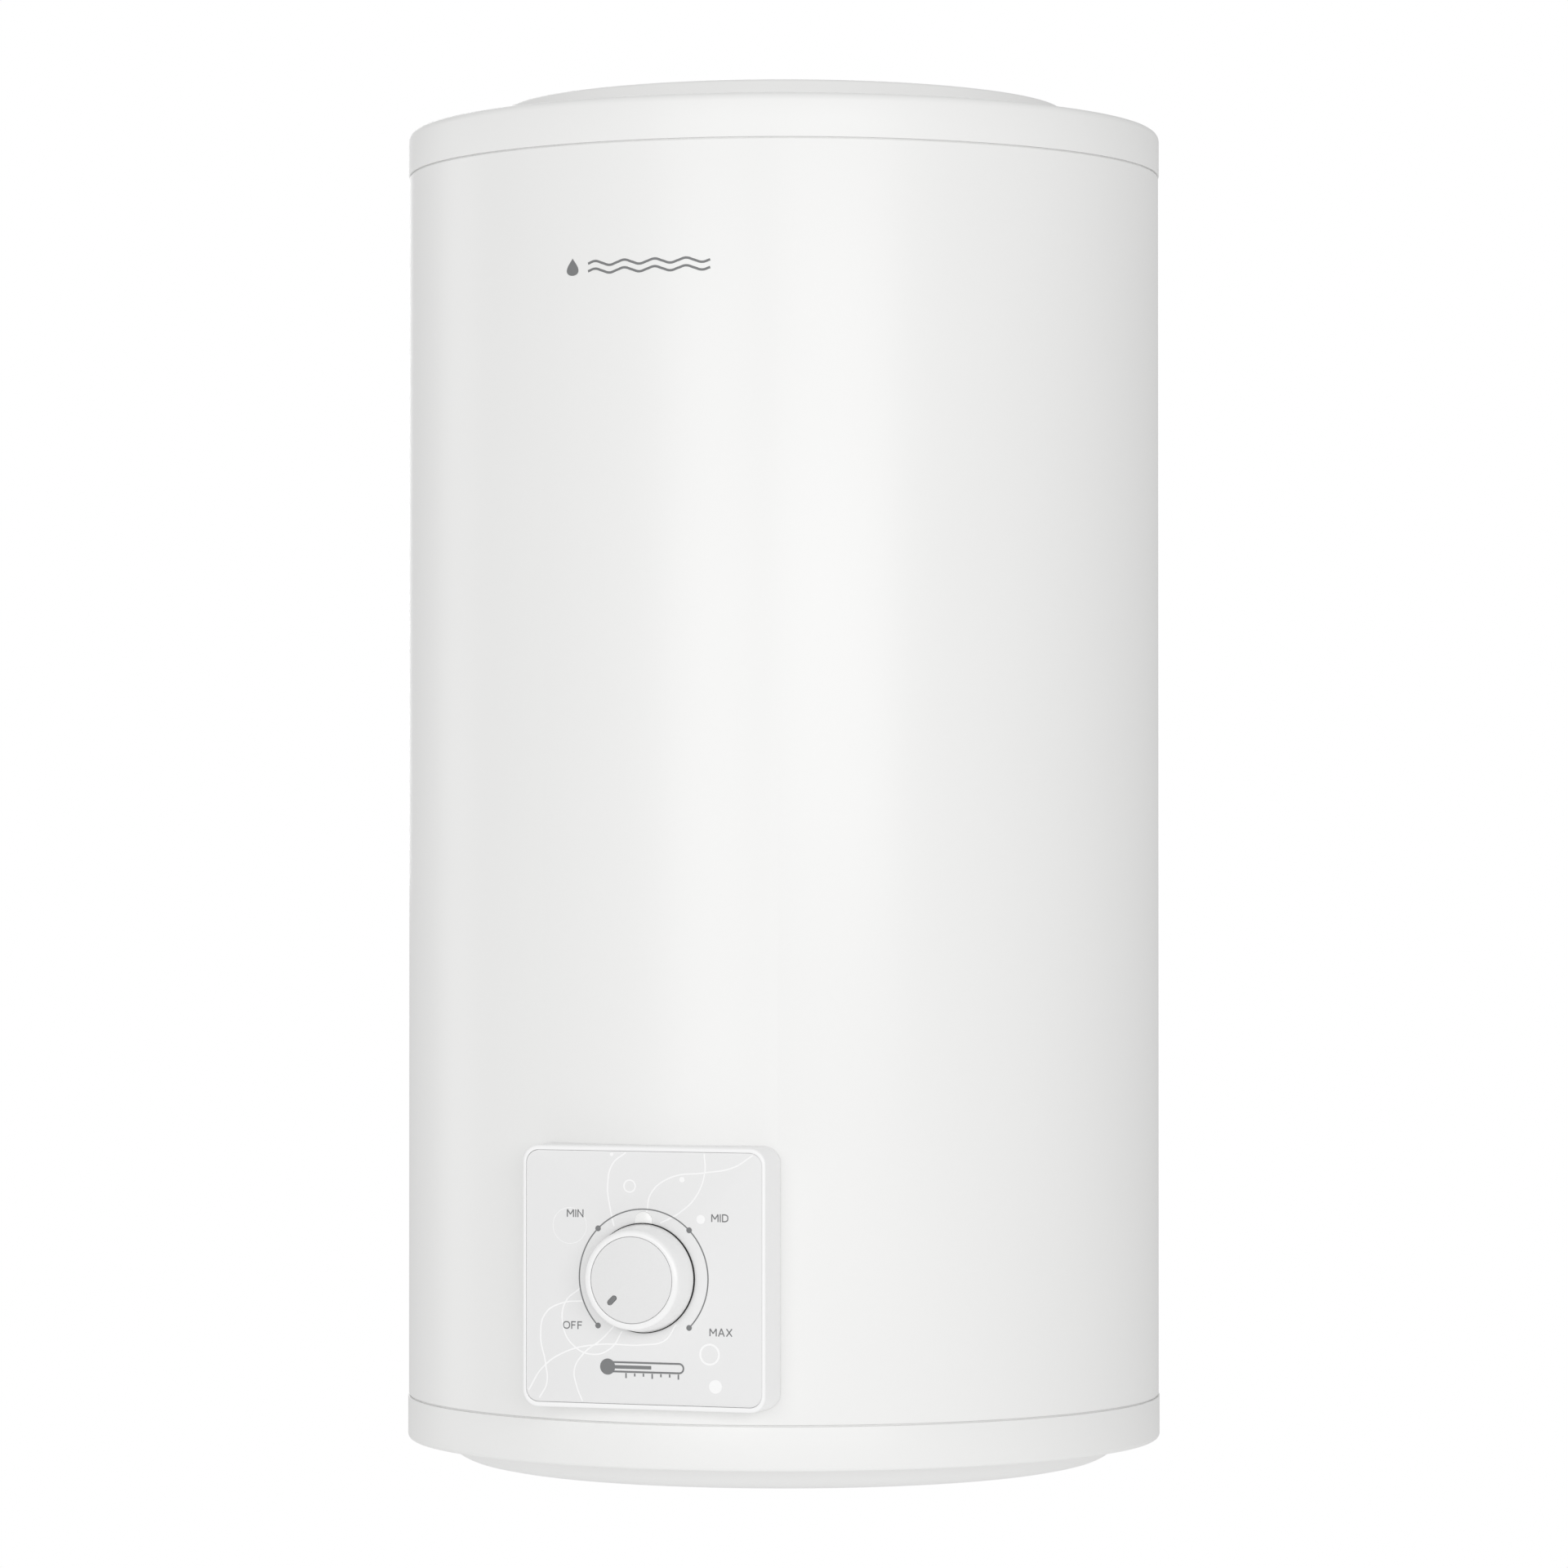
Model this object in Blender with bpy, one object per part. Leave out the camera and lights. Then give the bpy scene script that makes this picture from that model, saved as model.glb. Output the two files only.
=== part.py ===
"""Wall-hung electric storage water heater of about 47 litres.

Metres, +Z up. The origin is on the wall, midway between the two hook slots of the hanger
bracket, and the control panel faces -Y. Pieces are first placed from the centre of the
flat bottom face, on the tank's axis, and the whole is then moved to that origin.
"""
import math

import bmesh
import bpy
from mathutils import Vector

# Fits and facets
GAP = 0.0003                 # between two pieces that touch
RUNNING_GAP = 0.00015        # round a turning shaft or a sliding button
LARGE_SIDES = 48             # sides of the tank, the jacket and the caps
KNOB_SIDES = 32
SMALL_SIDES = 16

# Jacket and caps
JACKET_RADIUS = 0.1921
JACKET_SHEET = 0.0006
JACKET_HEIGHT = 0.6217
CAP_PROUD = 0.0004           # how far a cap's skirt stands out from the jacket
CAP_WALL = 0.0025
CAP_SKIRT = 0.0226           # from the shoulder to the jacket's edge
CAP_CORNER = 0.0040
CAP_LIP = 0.0120             # the part of a cap that sits inside the jacket
SEAM = 0.0008                # open groove between a cap's skirt and the jacket
DISC_HEIGHT = 0.0120         # raised round disc on each cap
TOP_DISC_SLOPE = 0.0070      # how much wider a disc is where it meets its cap
BOTTOM_DISC_SLOPE = 0.0240
TOP_DISC_BULGE = 0.0         # how far the middle of a disc's slope stands out
BOTTOM_DISC_BULGE = 0.0035
DISC_EDGE = 0.0020
TOP_DISC_MARGIN = 0.0485     # from the cap's outside in to the flat of its disc
BOTTOM_DISC_MARGIN = 0.0405

# Tank
FOAM_THICKNESS = 0.0190
TANK_WALL = 0.0018
TANK_LIFT = 0.1204           # tank's straight wall above the jacket's lower edge
TANK_HEADROOM = 0.0513       # and below the jacket's upper edge
DISH_DEPTH = 0.0500
DISH_FLANGE = 0.0150
DISH_STEPS = 4
FOAM_LIFT = 0.0100           # foam's lower end above the start of the straight wall

# Heater flange under the tank
COLLAR_RADIUS = 0.0400
COLLAR_WALL = 0.0040
COLLAR_DROP = 0.0220         # below the dish's lowest point
FLANGE_LIP = 0.0050
FLANGE_RIM = 0.0105          # outside the circle of studs
GASKET_MARGIN = 0.0015       # between the gasket and the studs
GASKET_THICKNESS = 0.0025
PLATE_THICKNESS = 0.0040
STUD_MARGIN = 0.0100         # of the stud circle outside the collar
STUD_COUNT = 5
STUD_RADIUS = 0.0040
STUD_END = 0.0075            # of a stud below its nut
NUT_HEIGHT = 0.0065
NUT_WALL = 0.0035            # from the stud to the nut's corners

# What stands in the tank on the flange plate
ELEMENT_SPACING = 0.0340
ELEMENT_RADIUS = 0.0040
ELEMENT_JOINT = 0.0008       # brazed gap round the element in the plate
ELEMENT_HEIGHT = 0.2200      # straight leg above the plate
ELEMENT_TAIL = 0.0120        # below the plate
TERMINAL_RADIUS = 0.0018
TERMINAL_LENGTH = 0.0140
ROD_OFFSET = 0.0220          # anode and thermometer pocket, from the plate's centre
ANODE_RADIUS = 0.0105
ANODE_LENGTH = 0.2200
ANODE_STUD_RADIUS = 0.0030
ANODE_STUD_LENGTH = 0.0140
POCKET_RADIUS = 0.0050
POCKET_WALL = 0.0010
POCKET_LENGTH = 0.2600
POCKET_TAIL = 0.0060
BULB_CLEARANCE = 0.0008
BULB_LENGTH = 0.1250
CAPILLARY_RADIUS = 0.0011

# Water connections
NIPPLE_X = 0.0500
NIPPLE_Y = 0.0850
NIPPLE_RADIUS = 0.0105
NIPPLE_WALL = 0.0025
NIPPLE_DROP = 0.0160         # below the bottom face
NIPPLE_STANDOFF = 0.0100     # above the dish, inside the tank
RING_WIDTH = 0.0042          # colour ring round a nipple
RING_THICKNESS = 0.0030
DIP_WALL = 0.0016
DIP_RISE = 0.0200            # of the hot pipe's end into the upper dish
DIP_OVERLAP = 0.0300         # length of an inner pipe inside its nipple
DIFFUSER_REACH = 0.0140      # of its plate outside its pipe
DIFFUSER_RISE = 0.0230       # of its plate above the nipple
DIFFUSER_THICKNESS = 0.0025
DIFFUSER_SLOT_LOW = 0.0069   # of its four slots above the nipple
DIFFUSER_SLOT_HIGH = 0.0196

# Supply cable's entry, with no cable in it
GLAND_Y = 0.1100
GLAND_BORE = 0.0045
GLAND_WALL = 0.0033
GLAND_RIM = 0.0027
GLAND_RIM_HEIGHT = 0.0042
GLAND_INSIDE = 0.0110
GLAND_DROP = 0.0120
GLAND_NUT_END = 0.0060       # of the nut below the gland's thread

# Service cover in the bottom cap
COVER_Y = -0.0650
COVER_WIDTH = 0.1240
COVER_DEPTH = 0.0700
COVER_CORNER = 0.0080
COVER_THICKNESS = 0.0012
COVER_LEDGE_X = 0.0110
COVER_LEDGE_Y = 0.0055
COVER_SCREW_INSET = 0.0060
BOSS_WALL = 0.0024
BOSS_END = 0.0020            # of a boss above its screw

# Control panel. Its pieces use a local frame: x right, y up, z out of the face.
PANEL_LIFT = 0.0710          # knob's axis above the jacket's lower edge
PANEL_STANDOFF = 0.0109      # face plate's front outside the jacket
FRAME_WIDTH = 0.1252
FRAME_HEIGHT = 0.1270
FRAME_CORNER = 0.0080
FRAME_BORDER_X = 0.0015
FRAME_BORDER_Y = 0.0022
FRAME_PROUD = 0.0007
FACE_THICKNESS = 0.0022
LEDGE_WIDTH = 0.0030
WINDOW_MARGIN = 0.0090       # from the frame's outside to the jacket's window, up and down
POST_RADIUS = 0.0042
POST_INSET = 0.0080          # of a post's centre inside the frame's outside
LENS_WIDTH = 0.0090
LENS_MARGIN = 0.0013         # centre of the lens's round top outside the knob
LENS_STRAIGHT = 0.0075
LENS_PROUD = 0.0005
LENS_THICKNESS = 0.0034
LAMP_RADIUS = 0.0025
LAMP_LENGTH = 0.0120

# Thermostat, cut-out and their bracket, behind the panel
BRACKET_DEPTH = 0.0250       # from the face plate's front to the bracket's front
BRACKET_SHEET = 0.0012
BRACKET_HEIGHT = 0.0600
BRACKET_CORNER = 0.0030
HOUSING_CORNER = 0.0020      # of the thermostat and the cut-out
THERMOSTAT_SIZE = 0.0360
THERMOSTAT_DEPTH = 0.0280
THERMOSTAT_SCREW_INSET = 0.0040
CUTOUT_SPACE = 0.0070        # between the thermostat and the cut-out
CUTOUT_WIDTH = 0.0240
CUTOUT_HEIGHT = 0.0300
CUTOUT_DEPTH = 0.0220
BUTTON_RADIUS = 0.0030
BUTTON_OUT = 0.0040
BUTTON_IN = 0.0030
BUTTON_TRAVEL = 0.0015
BUTTON_EDGE = 0.0006
SPINDLE_RADIUS = 0.0030
SPINDLE_INSERT = 0.0080      # how deep the spindle sits in the thermostat
SPINDLE_CLEARANCE = 0.0012   # in the face plate and the bracket

# Knob
KNOB_RADIUS = 0.0262         # at its base
KNOB_TAPER = 0.0023
KNOB_FRONT = 0.0170          # front of its ring, from the face plate
KNOB_LIFT = 0.0010           # its base, from the face plate
KNOB_WALL = 0.0022
KNOB_ROUND = 0.0015
KNOB_RING = 0.0029           # width of the ring round the inset disc
KNOB_RECESS = 0.0012
HUB_WALL = 0.0035
DISC_THICKNESS = 0.0006
POINTER_LENGTH = 0.0052
POINTER_WIDTH = 0.0022
POINTER_INSET = 0.0070       # of the pointer's centre inside the disc's edge
POINTER_ANGLE = math.radians(225)

# Wall hanger and lower spacer
WALL_STANDOFF = 0.0239       # from the jacket to the wall
HANGER_DROP = 0.1363         # bracket's middle below the jacket's upper edge
HANGER_WIDTH = 0.2000
HANGER_SHEET = 0.0025
HANGER_RISE = 0.0160         # from the web's near side to the wall
HANGER_WEB_HEIGHT = 0.0440
HANGER_FLANGE = 0.0220
HOOK_X = 0.0780
HOOK_SLOT_LENGTH = 0.0300
HOOK_SLOT_WIDTH = 0.0120
HANGER_BOLT_X = 0.0400
HANGER_BOLT_RADIUS = 0.0040
HANGER_BOLT_LENGTH = 0.0260
HANGER_BOSS_WALL = 0.0050
HANGER_HEAD_RIM = 0.0035
HANGER_HEAD_HEIGHT = 0.0053
SPACER_LIFT = 0.0604         # above the jacket's lower edge
SPACER_WIDTH = 0.0440
SPACER_HEIGHT = 0.0300
SPACER_CORNER = 0.0050
SPACER_RECESS = 0.0080
SPACER_RECESS_ROOM = 0.0024  # round the screw's head

# Small screws
SCREW_RADIUS = 0.0018
SCREW_HEAD_RIM = 0.0018
SCREW_HEAD_HEIGHT = 0.0022
SCREW_HEAD_SIDE = 0.0012     # height of a head's straight side
SCREW_HEAD_SLOPE = 0.0009    # of its chamfer, inwards
SCREW_LENGTH = 0.0070
BRACKET_SCREW_LENGTH = 0.0090
SPACER_SCREW_LENGTH = 0.0220

# Terminal block and wires
BLOCK_Y = 0.0420
BLOCK_SIZE = (0.0500, 0.0220, 0.0170)
WIRE_RADIUS = 0.0013

# Worked out from the values above
CAP_RADIUS = JACKET_RADIUS + CAP_PROUD
TOP_DISC_RADIUS = CAP_RADIUS - TOP_DISC_MARGIN
BOTTOM_DISC_RADIUS = CAP_RADIUS - BOTTOM_DISC_MARGIN
JACKET_INSIDE = JACKET_RADIUS - JACKET_SHEET
JACKET_BOTTOM = DISC_HEIGHT + CAP_SKIRT
JACKET_TOP = JACKET_BOTTOM + JACKET_HEIGHT
TOTAL_HEIGHT = JACKET_TOP + CAP_SKIRT + DISC_HEIGHT
LIP_RADIUS = JACKET_INSIDE - GAP
TANK_RADIUS = JACKET_INSIDE - FOAM_THICKNESS
TANK_INSIDE = TANK_RADIUS - TANK_WALL
TANK_BOTTOM = JACKET_BOTTOM + TANK_LIFT
TANK_TOP = JACKET_TOP - TANK_HEADROOM
DISH_RADIUS = TANK_INSIDE - GAP
FOAM_BOTTOM = TANK_BOTTOM + FOAM_LIFT
COLLAR_BOTTOM = TANK_BOTTOM - DISH_DEPTH - COLLAR_DROP
STUD_CIRCLE = COLLAR_RADIUS + STUD_MARGIN
FLANGE_RADIUS = STUD_CIRCLE + FLANGE_RIM
GASKET_RADIUS = STUD_CIRCLE - STUD_RADIUS - GASKET_MARGIN
GASKET_TOP = COLLAR_BOTTOM - GAP
PLATE_TOP = GASKET_TOP - GASKET_THICKNESS - GAP
PLATE_BOTTOM = PLATE_TOP - PLATE_THICKNESS
STUD_BOTTOM = PLATE_BOTTOM - GAP - NUT_HEIGHT - STUD_END
NIPPLE_BORE = NIPPLE_RADIUS - NIPPLE_WALL
DIP_RADIUS = NIPPLE_BORE - GAP
GLAND_THREAD = GLAND_BORE + GLAND_WALL
GLAND_FLANGE = GLAND_THREAD + GLAND_RIM
SCREW_HOLE = SCREW_RADIUS + GAP
SCREW_HEAD_RADIUS = SCREW_RADIUS + SCREW_HEAD_RIM
COVER_SCREW_X = COVER_WIDTH / 2 - COVER_SCREW_INSET
PANEL_Z = JACKET_BOTTOM + PANEL_LIFT
FACE_DEPTH = JACKET_RADIUS + PANEL_STANDOFF
FACE_WIDTH = FRAME_WIDTH - 2 * FRAME_BORDER_X - 2 * GAP
FACE_HEIGHT = FRAME_HEIGHT - 2 * FRAME_BORDER_Y - 2 * GAP
FACE_CORNER = FRAME_CORNER - FRAME_BORDER_X
POST_X = FRAME_WIDTH / 2 - POST_INSET
THERMOSTAT_SCREW_X = THERMOSTAT_SIZE / 2 - THERMOSTAT_SCREW_INSET
CUTOUT_X = -(THERMOSTAT_SIZE + CUTOUT_WIDTH) / 2 - CUTOUT_SPACE
SPINDLE_BACK = -BRACKET_DEPTH - BRACKET_SHEET - GAP - SPINDLE_INSERT
KNOB_FRONT_RADIUS = KNOB_RADIUS - KNOB_TAPER
KNOB_DISC_RADIUS = KNOB_FRONT_RADIUS - KNOB_RING
POINTER_RADIUS = KNOB_DISC_RADIUS - POINTER_INSET
LENS_CENTRE = KNOB_RADIUS + LENS_MARGIN
WALL_DEPTH = JACKET_RADIUS + WALL_STANDOFF
HANGER_WEB = WALL_DEPTH - HANGER_RISE
HANGER_Z = JACKET_TOP - HANGER_DROP
HOOK_Z = HANGER_Z + (HANGER_WEB_HEIGHT + HANGER_FLANGE) / 2
HANGER_BOSS_RADIUS = HANGER_BOLT_RADIUS + HANGER_BOSS_WALL
SPACER_Z = JACKET_BOTTOM + SPACER_LIFT
REACH = 0.05                 # how far a cutter runs past what it cuts
EMBED = 0.01                 # how far a piece to be trimmed runs into its neighbour

# Ways that a piece's local Z axis can point
UP = (0, 0, 0)
DOWN = (math.pi, 0, 0)
FRONT = (math.pi / 2, 0, 0)
REAR = (-math.pi / 2, 0, 0)

# Looks: sRGB colour, roughness, metallic
WHITE_PAINT = ("#F2F2F0", 0.30, 0.0)
WHITE_PLASTIC = ("#F0F0EE", 0.38, 0.0)
PALE_GREY_PLASTIC = ("#E4E5E5", 0.45, 0.0)
DARK_GREY_PLASTIC = ("#4A4D50", 0.50, 0.0)
BLACK_PLASTIC = ("#1E1E1F", 0.50, 0.0)
BLUE_PLASTIC = ("#1F5FB4", 0.40, 0.0)
RED_PLASTIC = ("#C3262A", 0.40, 0.0)
LENS_PLASTIC = ("#F4F4F2", 0.20, 0.0)
AMBER_GLASS = ("#E98A2B", 0.15, 0.0)
FOAM = ("#E8DFA8", 0.90, 0.0)
ENAMEL_STEEL = ("#2F4A66", 0.35, 0.0)
RUBBER = ("#242424", 0.80, 0.0)
ZINC_STEEL = ("#B9BDC1", 0.40, 0.9)
COPPER = ("#B87349", 0.30, 0.9)
MAGNESIUM = ("#9FA3A6", 0.60, 0.8)
BRASS = ("#B89B4E", 0.35, 0.9)


# ---------------------------------------------------------------- shape helpers

def linear(channel):
    """One sRGB channel, 0 to 1, as a linear value."""
    if channel <= 0.04045:
        return channel / 12.92
    return ((channel + 0.055) / 1.055) ** 2.4


def finish(piece, look):
    """Give a piece its own material."""
    colour, roughness, metallic = look
    channels = [int(colour[start:start + 2], 16) / 255 for start in (1, 3, 5)]
    material = bpy.data.materials.new(piece.name + "_finish")
    material.use_nodes = True
    shader = material.node_tree.nodes["Principled BSDF"]
    shader.inputs["Base Color"].default_value = [*map(linear, channels), 1.0]
    shader.inputs["Roughness"].default_value = roughness
    shader.inputs["Metallic"].default_value = metallic
    piece.data.materials.append(material)


def place(name, data, look, centre, facing):
    """Put a mesh or a curve into the scene; a piece with no look is a cutter."""
    piece = bpy.data.objects.new(name, data)
    piece.location = centre
    piece.rotation_euler = facing
    bpy.context.collection.objects.link(piece)
    if look:
        finish(piece, look)
    return piece


def solid(name, shape, look, centre, facing):
    """Turn a closed bmesh into a placed piece, shaded smooth up to 30 degrees."""
    bmesh.ops.recalc_face_normals(shape, faces=shape.faces)
    mesh = bpy.data.meshes.new(name)
    shape.to_mesh(mesh)
    shape.free()
    mesh.shade_smooth()
    mesh.set_sharp_from_angle(angle=math.radians(30))
    return place(name, mesh, look, centre, facing)


def circle(radius, sides):
    """Points of a circle, anticlockwise from +X."""
    turns = [2 * math.pi * side / sides for side in range(sides)]
    return [(radius * math.cos(turn), radius * math.sin(turn)) for turn in turns]


def arc(centre, radius, start, end, steps):
    """Points along an arc, angles in degrees, ends included."""
    turns = [math.radians(start + (end - start) * step / steps) for step in range(steps + 1)]
    return [(centre[0] + radius * math.cos(turn), centre[1] + radius * math.sin(turn))
            for turn in turns]


def rounded_rectangle(width, height, corner, steps=4):
    """A centred rectangle with round corners, anticlockwise."""
    across, up = width / 2 - corner, height / 2 - corner
    centres = [(across, up), (-across, up), (-across, -up), (across, -up)]
    outline = []
    for quarter, centre in enumerate(centres):
        outline += arc(centre, corner, 90 * quarter, 90 * quarter + 90, steps)
    return outline


def bridge(shape, lower, upper):
    """Faces between two rings of points. A ring of one point is a pole, or a flat's centre."""
    count = max(len(lower), len(upper))
    if count == 1:
        return
    if min(len(lower), len(upper)) == 1 and lower[0].co.z == upper[0].co.z:
        shape.faces.new(max(lower, upper, key=len))
        return
    for side in range(count):
        corners = []
        for ring, places in ((lower, (side, side + 1)), (upper, (side + 1, side))):
            if len(ring) == 1:
                corners.append(ring[0])
            else:
                corners += [ring[index % count] for index in places]
        shape.faces.new(corners)


def turned(name, outline, look=None, centre=(0, 0, 0), facing=UP, sides=SMALL_SIDES):
    """Turn a closed outline of (radius, height) points about the local Z axis."""
    shape = bmesh.new()
    rings = []
    for radius, height in outline:
        points = circle(radius, sides) if radius else [(0, 0)]
        rings.append([shape.verts.new((x, y, height)) for x, y in points])
    for lower, upper in zip(rings, rings[1:] + rings[:1]):
        bridge(shape, lower, upper)
    unused = [vert for vert in shape.verts if not vert.link_faces]
    bmesh.ops.delete(shape, geom=unused, context="VERTS")
    return solid(name, shape, look, centre, facing)


def rod(name, radius, low, high, look=None, centre=(0, 0, 0), facing=UP, sides=SMALL_SIDES):
    """A plain round bar from low to high."""
    outline = [(0, low), (radius, low), (radius, high), (0, high)]
    return turned(name, outline, look, centre, facing, sides)


def pipe(name, inside, outside, low, high, look=None, centre=(0, 0, 0), facing=UP,
         sides=SMALL_SIDES):
    """A plain open tube from low to high."""
    outline = [(inside, low), (outside, low), (outside, high), (inside, high)]
    return turned(name, outline, look, centre, facing, sides)


def extruded(name, outline, low, high, look=None, centre=(0, 0, 0), facing=UP):
    """Raise a flat outline of (x, y) points from low to high."""
    shape = bmesh.new()
    rings = [[shape.verts.new((x, y, height)) for x, y in outline] for height in (low, high)]
    bridge(shape, *rings)
    for ring in rings:
        shape.faces.new(ring)
    return solid(name, shape, look, centre, facing)


def block(name, low, high, look=None, centre=(0, 0, 0), facing=UP):
    """A box between two opposite corners."""
    outline = [(low[0], low[1]), (high[0], low[1]), (high[0], high[1]), (low[0], high[1])]
    return extruded(name, outline, low[2], high[2], look, centre, facing)


def bent_bar(name, points, radius, look, fineness=1):
    """A round bar with closed ends along a list of points."""
    curve = bpy.data.curves.new(name, "CURVE")
    curve.dimensions = "3D"
    curve.bevel_depth = radius
    curve.bevel_resolution = fineness
    curve.use_fill_caps = True
    spline = curve.splines.new("POLY")
    spline.points.add(len(points) - 1)
    for spot, point in zip(spline.points, points):
        spot.co = (*point, 1)
    return place(name, curve, look, (0, 0, 0), UP)


def smooth_route(stops, steps=4):
    """Points of a smooth line through the given stops, with straight ends."""
    stops = [Vector(stop) for stop in stops]
    stops.insert(1, (stops[0] + stops[1]) / 2)
    stops.insert(-1, (stops[-2] + stops[-1]) / 2)
    padded = [2 * stops[0] - stops[1], *stops, 2 * stops[-1] - stops[-2]]
    route = []
    for before, start, end, after in zip(padded, padded[1:], padded[2:], padded[3:]):
        for step in range(steps):
            t = step / steps
            ahead = (end - before) * t
            curve = (2 * before - 5 * start + 4 * end - after) * t * t
            close = (3 * start - before - 3 * end + after) * t ** 3
            route.append(start + (ahead + curve + close) / 2)
    return [*route, stops[-1]]


def combine(piece, tool, operation):
    tool.hide_render = True
    tool.display_type = "WIRE"
    change = piece.modifiers.new(tool.name, "BOOLEAN")
    change.operation = operation
    change.solver = "EXACT"
    change.object = tool


def cut(piece, *tools):
    for tool in tools:
        combine(piece, tool, "DIFFERENCE")


def add(piece, *tools):
    for tool in tools:
        combine(piece, tool, "UNION")


def screw(name, radius, length, head_radius, head_height, look, centre, facing):
    """A screw with its head's underside at local zero and its shank below."""
    outline = [(0, -length), (radius, -length), (radius, 0), (head_radius, 0),
               (head_radius, SCREW_HEAD_SIDE), (head_radius - SCREW_HEAD_SLOPE, head_height),
               (0, head_height)]
    return turned(name, outline, look, centre, facing, sides=12)


def nut(name, hole, low, height, radius, look, centre, facing=UP):
    """A hexagon nut with a plain hole."""
    piece = extruded(name, circle(radius, 6), low, low + height, look, centre, facing)
    cut(piece, rod(name + "_hole_cut", hole, low - REACH, low + height + REACH,
                   centre=centre, facing=facing, sides=12))
    return piece


def jacket_surface(name):
    """The jacket's outside as a solid, with a gap, to cut what sits on it."""
    return rod(name, JACKET_RADIUS + GAP, -REACH, TOTAL_HEIGHT + REACH, sides=LARGE_SIDES)


# ---------------------------------------------------------------- jacket and caps

def cap_outline(disc_radius, slope, bulge):
    """A cap's section, with its disc's flat face at height zero and its lip above."""
    base = disc_radius + slope
    corner = (CAP_RADIUS - CAP_CORNER, DISC_HEIGHT + CAP_CORNER)
    lip_inside = LIP_RADIUS - CAP_WALL
    outside = [(0, 0), (disc_radius - DISC_EDGE, 0), (disc_radius, DISC_EDGE / 2)]
    outside += [(disc_radius + slope / 2, DISC_HEIGHT / 2 - bulge)]
    outside += [(base - DISC_EDGE, DISC_HEIGHT - DISC_EDGE / 2), (base, DISC_HEIGHT)]
    outside += arc(corner, CAP_CORNER, -90, 0, 3)
    outside += [(CAP_RADIUS, JACKET_BOTTOM - SEAM), (LIP_RADIUS, JACKET_BOTTOM - SEAM)]
    outside += [(LIP_RADIUS, JACKET_BOTTOM + CAP_LIP), (lip_inside, JACKET_BOTTOM + CAP_LIP)]
    inside = [(lip_inside, DISC_HEIGHT + CAP_WALL), (base - DISC_EDGE, DISC_HEIGHT + CAP_WALL)]
    inside += [(disc_radius - DISC_EDGE, CAP_WALL), (0, CAP_WALL)]
    return outside + inside


def make_jacket():
    jacket = pipe("jacket", JACKET_INSIDE, JACKET_RADIUS, JACKET_BOTTOM, JACKET_TOP,
                  WHITE_PAINT, sides=LARGE_SIDES)
    window = rounded_rectangle(FACE_WIDTH, FRAME_HEIGHT - 2 * WINDOW_MARGIN, FRAME_CORNER)
    cut(jacket, extruded("jacket_window_cut", window, -REACH, REACH,
                         centre=panel_centre(), facing=FRONT))
    for index, x in enumerate((-HANGER_BOLT_X, HANGER_BOLT_X), 1):
        cut(jacket, rod(f"jacket_boss_cut_{index}", HANGER_BOSS_RADIUS + GAP, TANK_INSIDE,
                        WALL_DEPTH, centre=(x, 0, HANGER_Z), facing=REAR))
    cut(jacket, rod("jacket_spacer_screw_cut", SCREW_HOLE, TANK_INSIDE, WALL_DEPTH,
                    centre=(0, 0, SPACER_Z), facing=REAR, sides=12))


def make_top_cap():
    outline = cap_outline(TOP_DISC_RADIUS, TOP_DISC_SLOPE, TOP_DISC_BULGE)
    turned("top_cap", outline, WHITE_PLASTIC,
           centre=(0, 0, TOTAL_HEIGHT), facing=DOWN, sides=LARGE_SIDES)


def make_bottom_cap():
    outline = cap_outline(BOTTOM_DISC_RADIUS, BOTTOM_DISC_SLOPE, BOTTOM_DISC_BULGE)
    cap = turned("bottom_cap", outline, WHITE_PLASTIC,
                 sides=LARGE_SIDES)
    for index, x in enumerate((-COVER_SCREW_X, COVER_SCREW_X), 1):
        add(cap, rod(f"cover_boss_{index}", SCREW_HOLE + BOSS_WALL, CAP_WALL / 2,
                     SCREW_LENGTH + BOSS_END, centre=(x, COVER_Y, 0), sides=12))
        cut(cap, rod(f"cover_boss_hole_{index}", SCREW_HOLE, -REACH,
                     SCREW_LENGTH + GAP, centre=(x, COVER_Y, 0), sides=12))
    recess = rounded_rectangle(COVER_WIDTH, COVER_DEPTH, COVER_CORNER)
    opening = rounded_rectangle(COVER_WIDTH - 2 * COVER_LEDGE_X,
                                COVER_DEPTH - 2 * COVER_LEDGE_Y, COVER_CORNER / 2)
    cut(cap, extruded("cover_recess_cut", recess, -REACH, COVER_THICKNESS + GAP,
                      centre=(0, COVER_Y, 0)),
        extruded("cover_opening_cut", opening, -REACH, CAP_WALL + EMBED / 2,
                 centre=(0, COVER_Y, 0)),
        rod("gland_cut", GLAND_THREAD + GAP, -REACH, CAP_WALL + EMBED / 2,
            centre=(0, GLAND_Y, 0)))
    for index, x in enumerate((-NIPPLE_X, NIPPLE_X), 1):
        cut(cap, rod(f"nipple_cut_{index}", NIPPLE_RADIUS + 2 * GAP, -REACH,
                     CAP_WALL + EMBED / 2, centre=(x, NIPPLE_Y, 0), sides=24))


def make_service_cover():
    outline = rounded_rectangle(COVER_WIDTH - 2 * GAP, COVER_DEPTH - 2 * GAP,
                                COVER_CORNER - GAP)
    cover = extruded("service_cover", outline, 0, COVER_THICKNESS, WHITE_PLASTIC,
                     centre=(0, COVER_Y, 0))
    for index, x in enumerate((-COVER_SCREW_X, COVER_SCREW_X), 1):
        cut(cover, rod(f"cover_screw_cut_{index}", SCREW_HOLE, -REACH, REACH,
                       centre=(x, COVER_Y, 0), sides=12))
        screw(f"cover_screw_{index}", SCREW_RADIUS, SCREW_LENGTH, SCREW_HEAD_RADIUS,
              SCREW_HEAD_HEIGHT, ZINC_STEEL, (x, COVER_Y, -GAP), DOWN)


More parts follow.
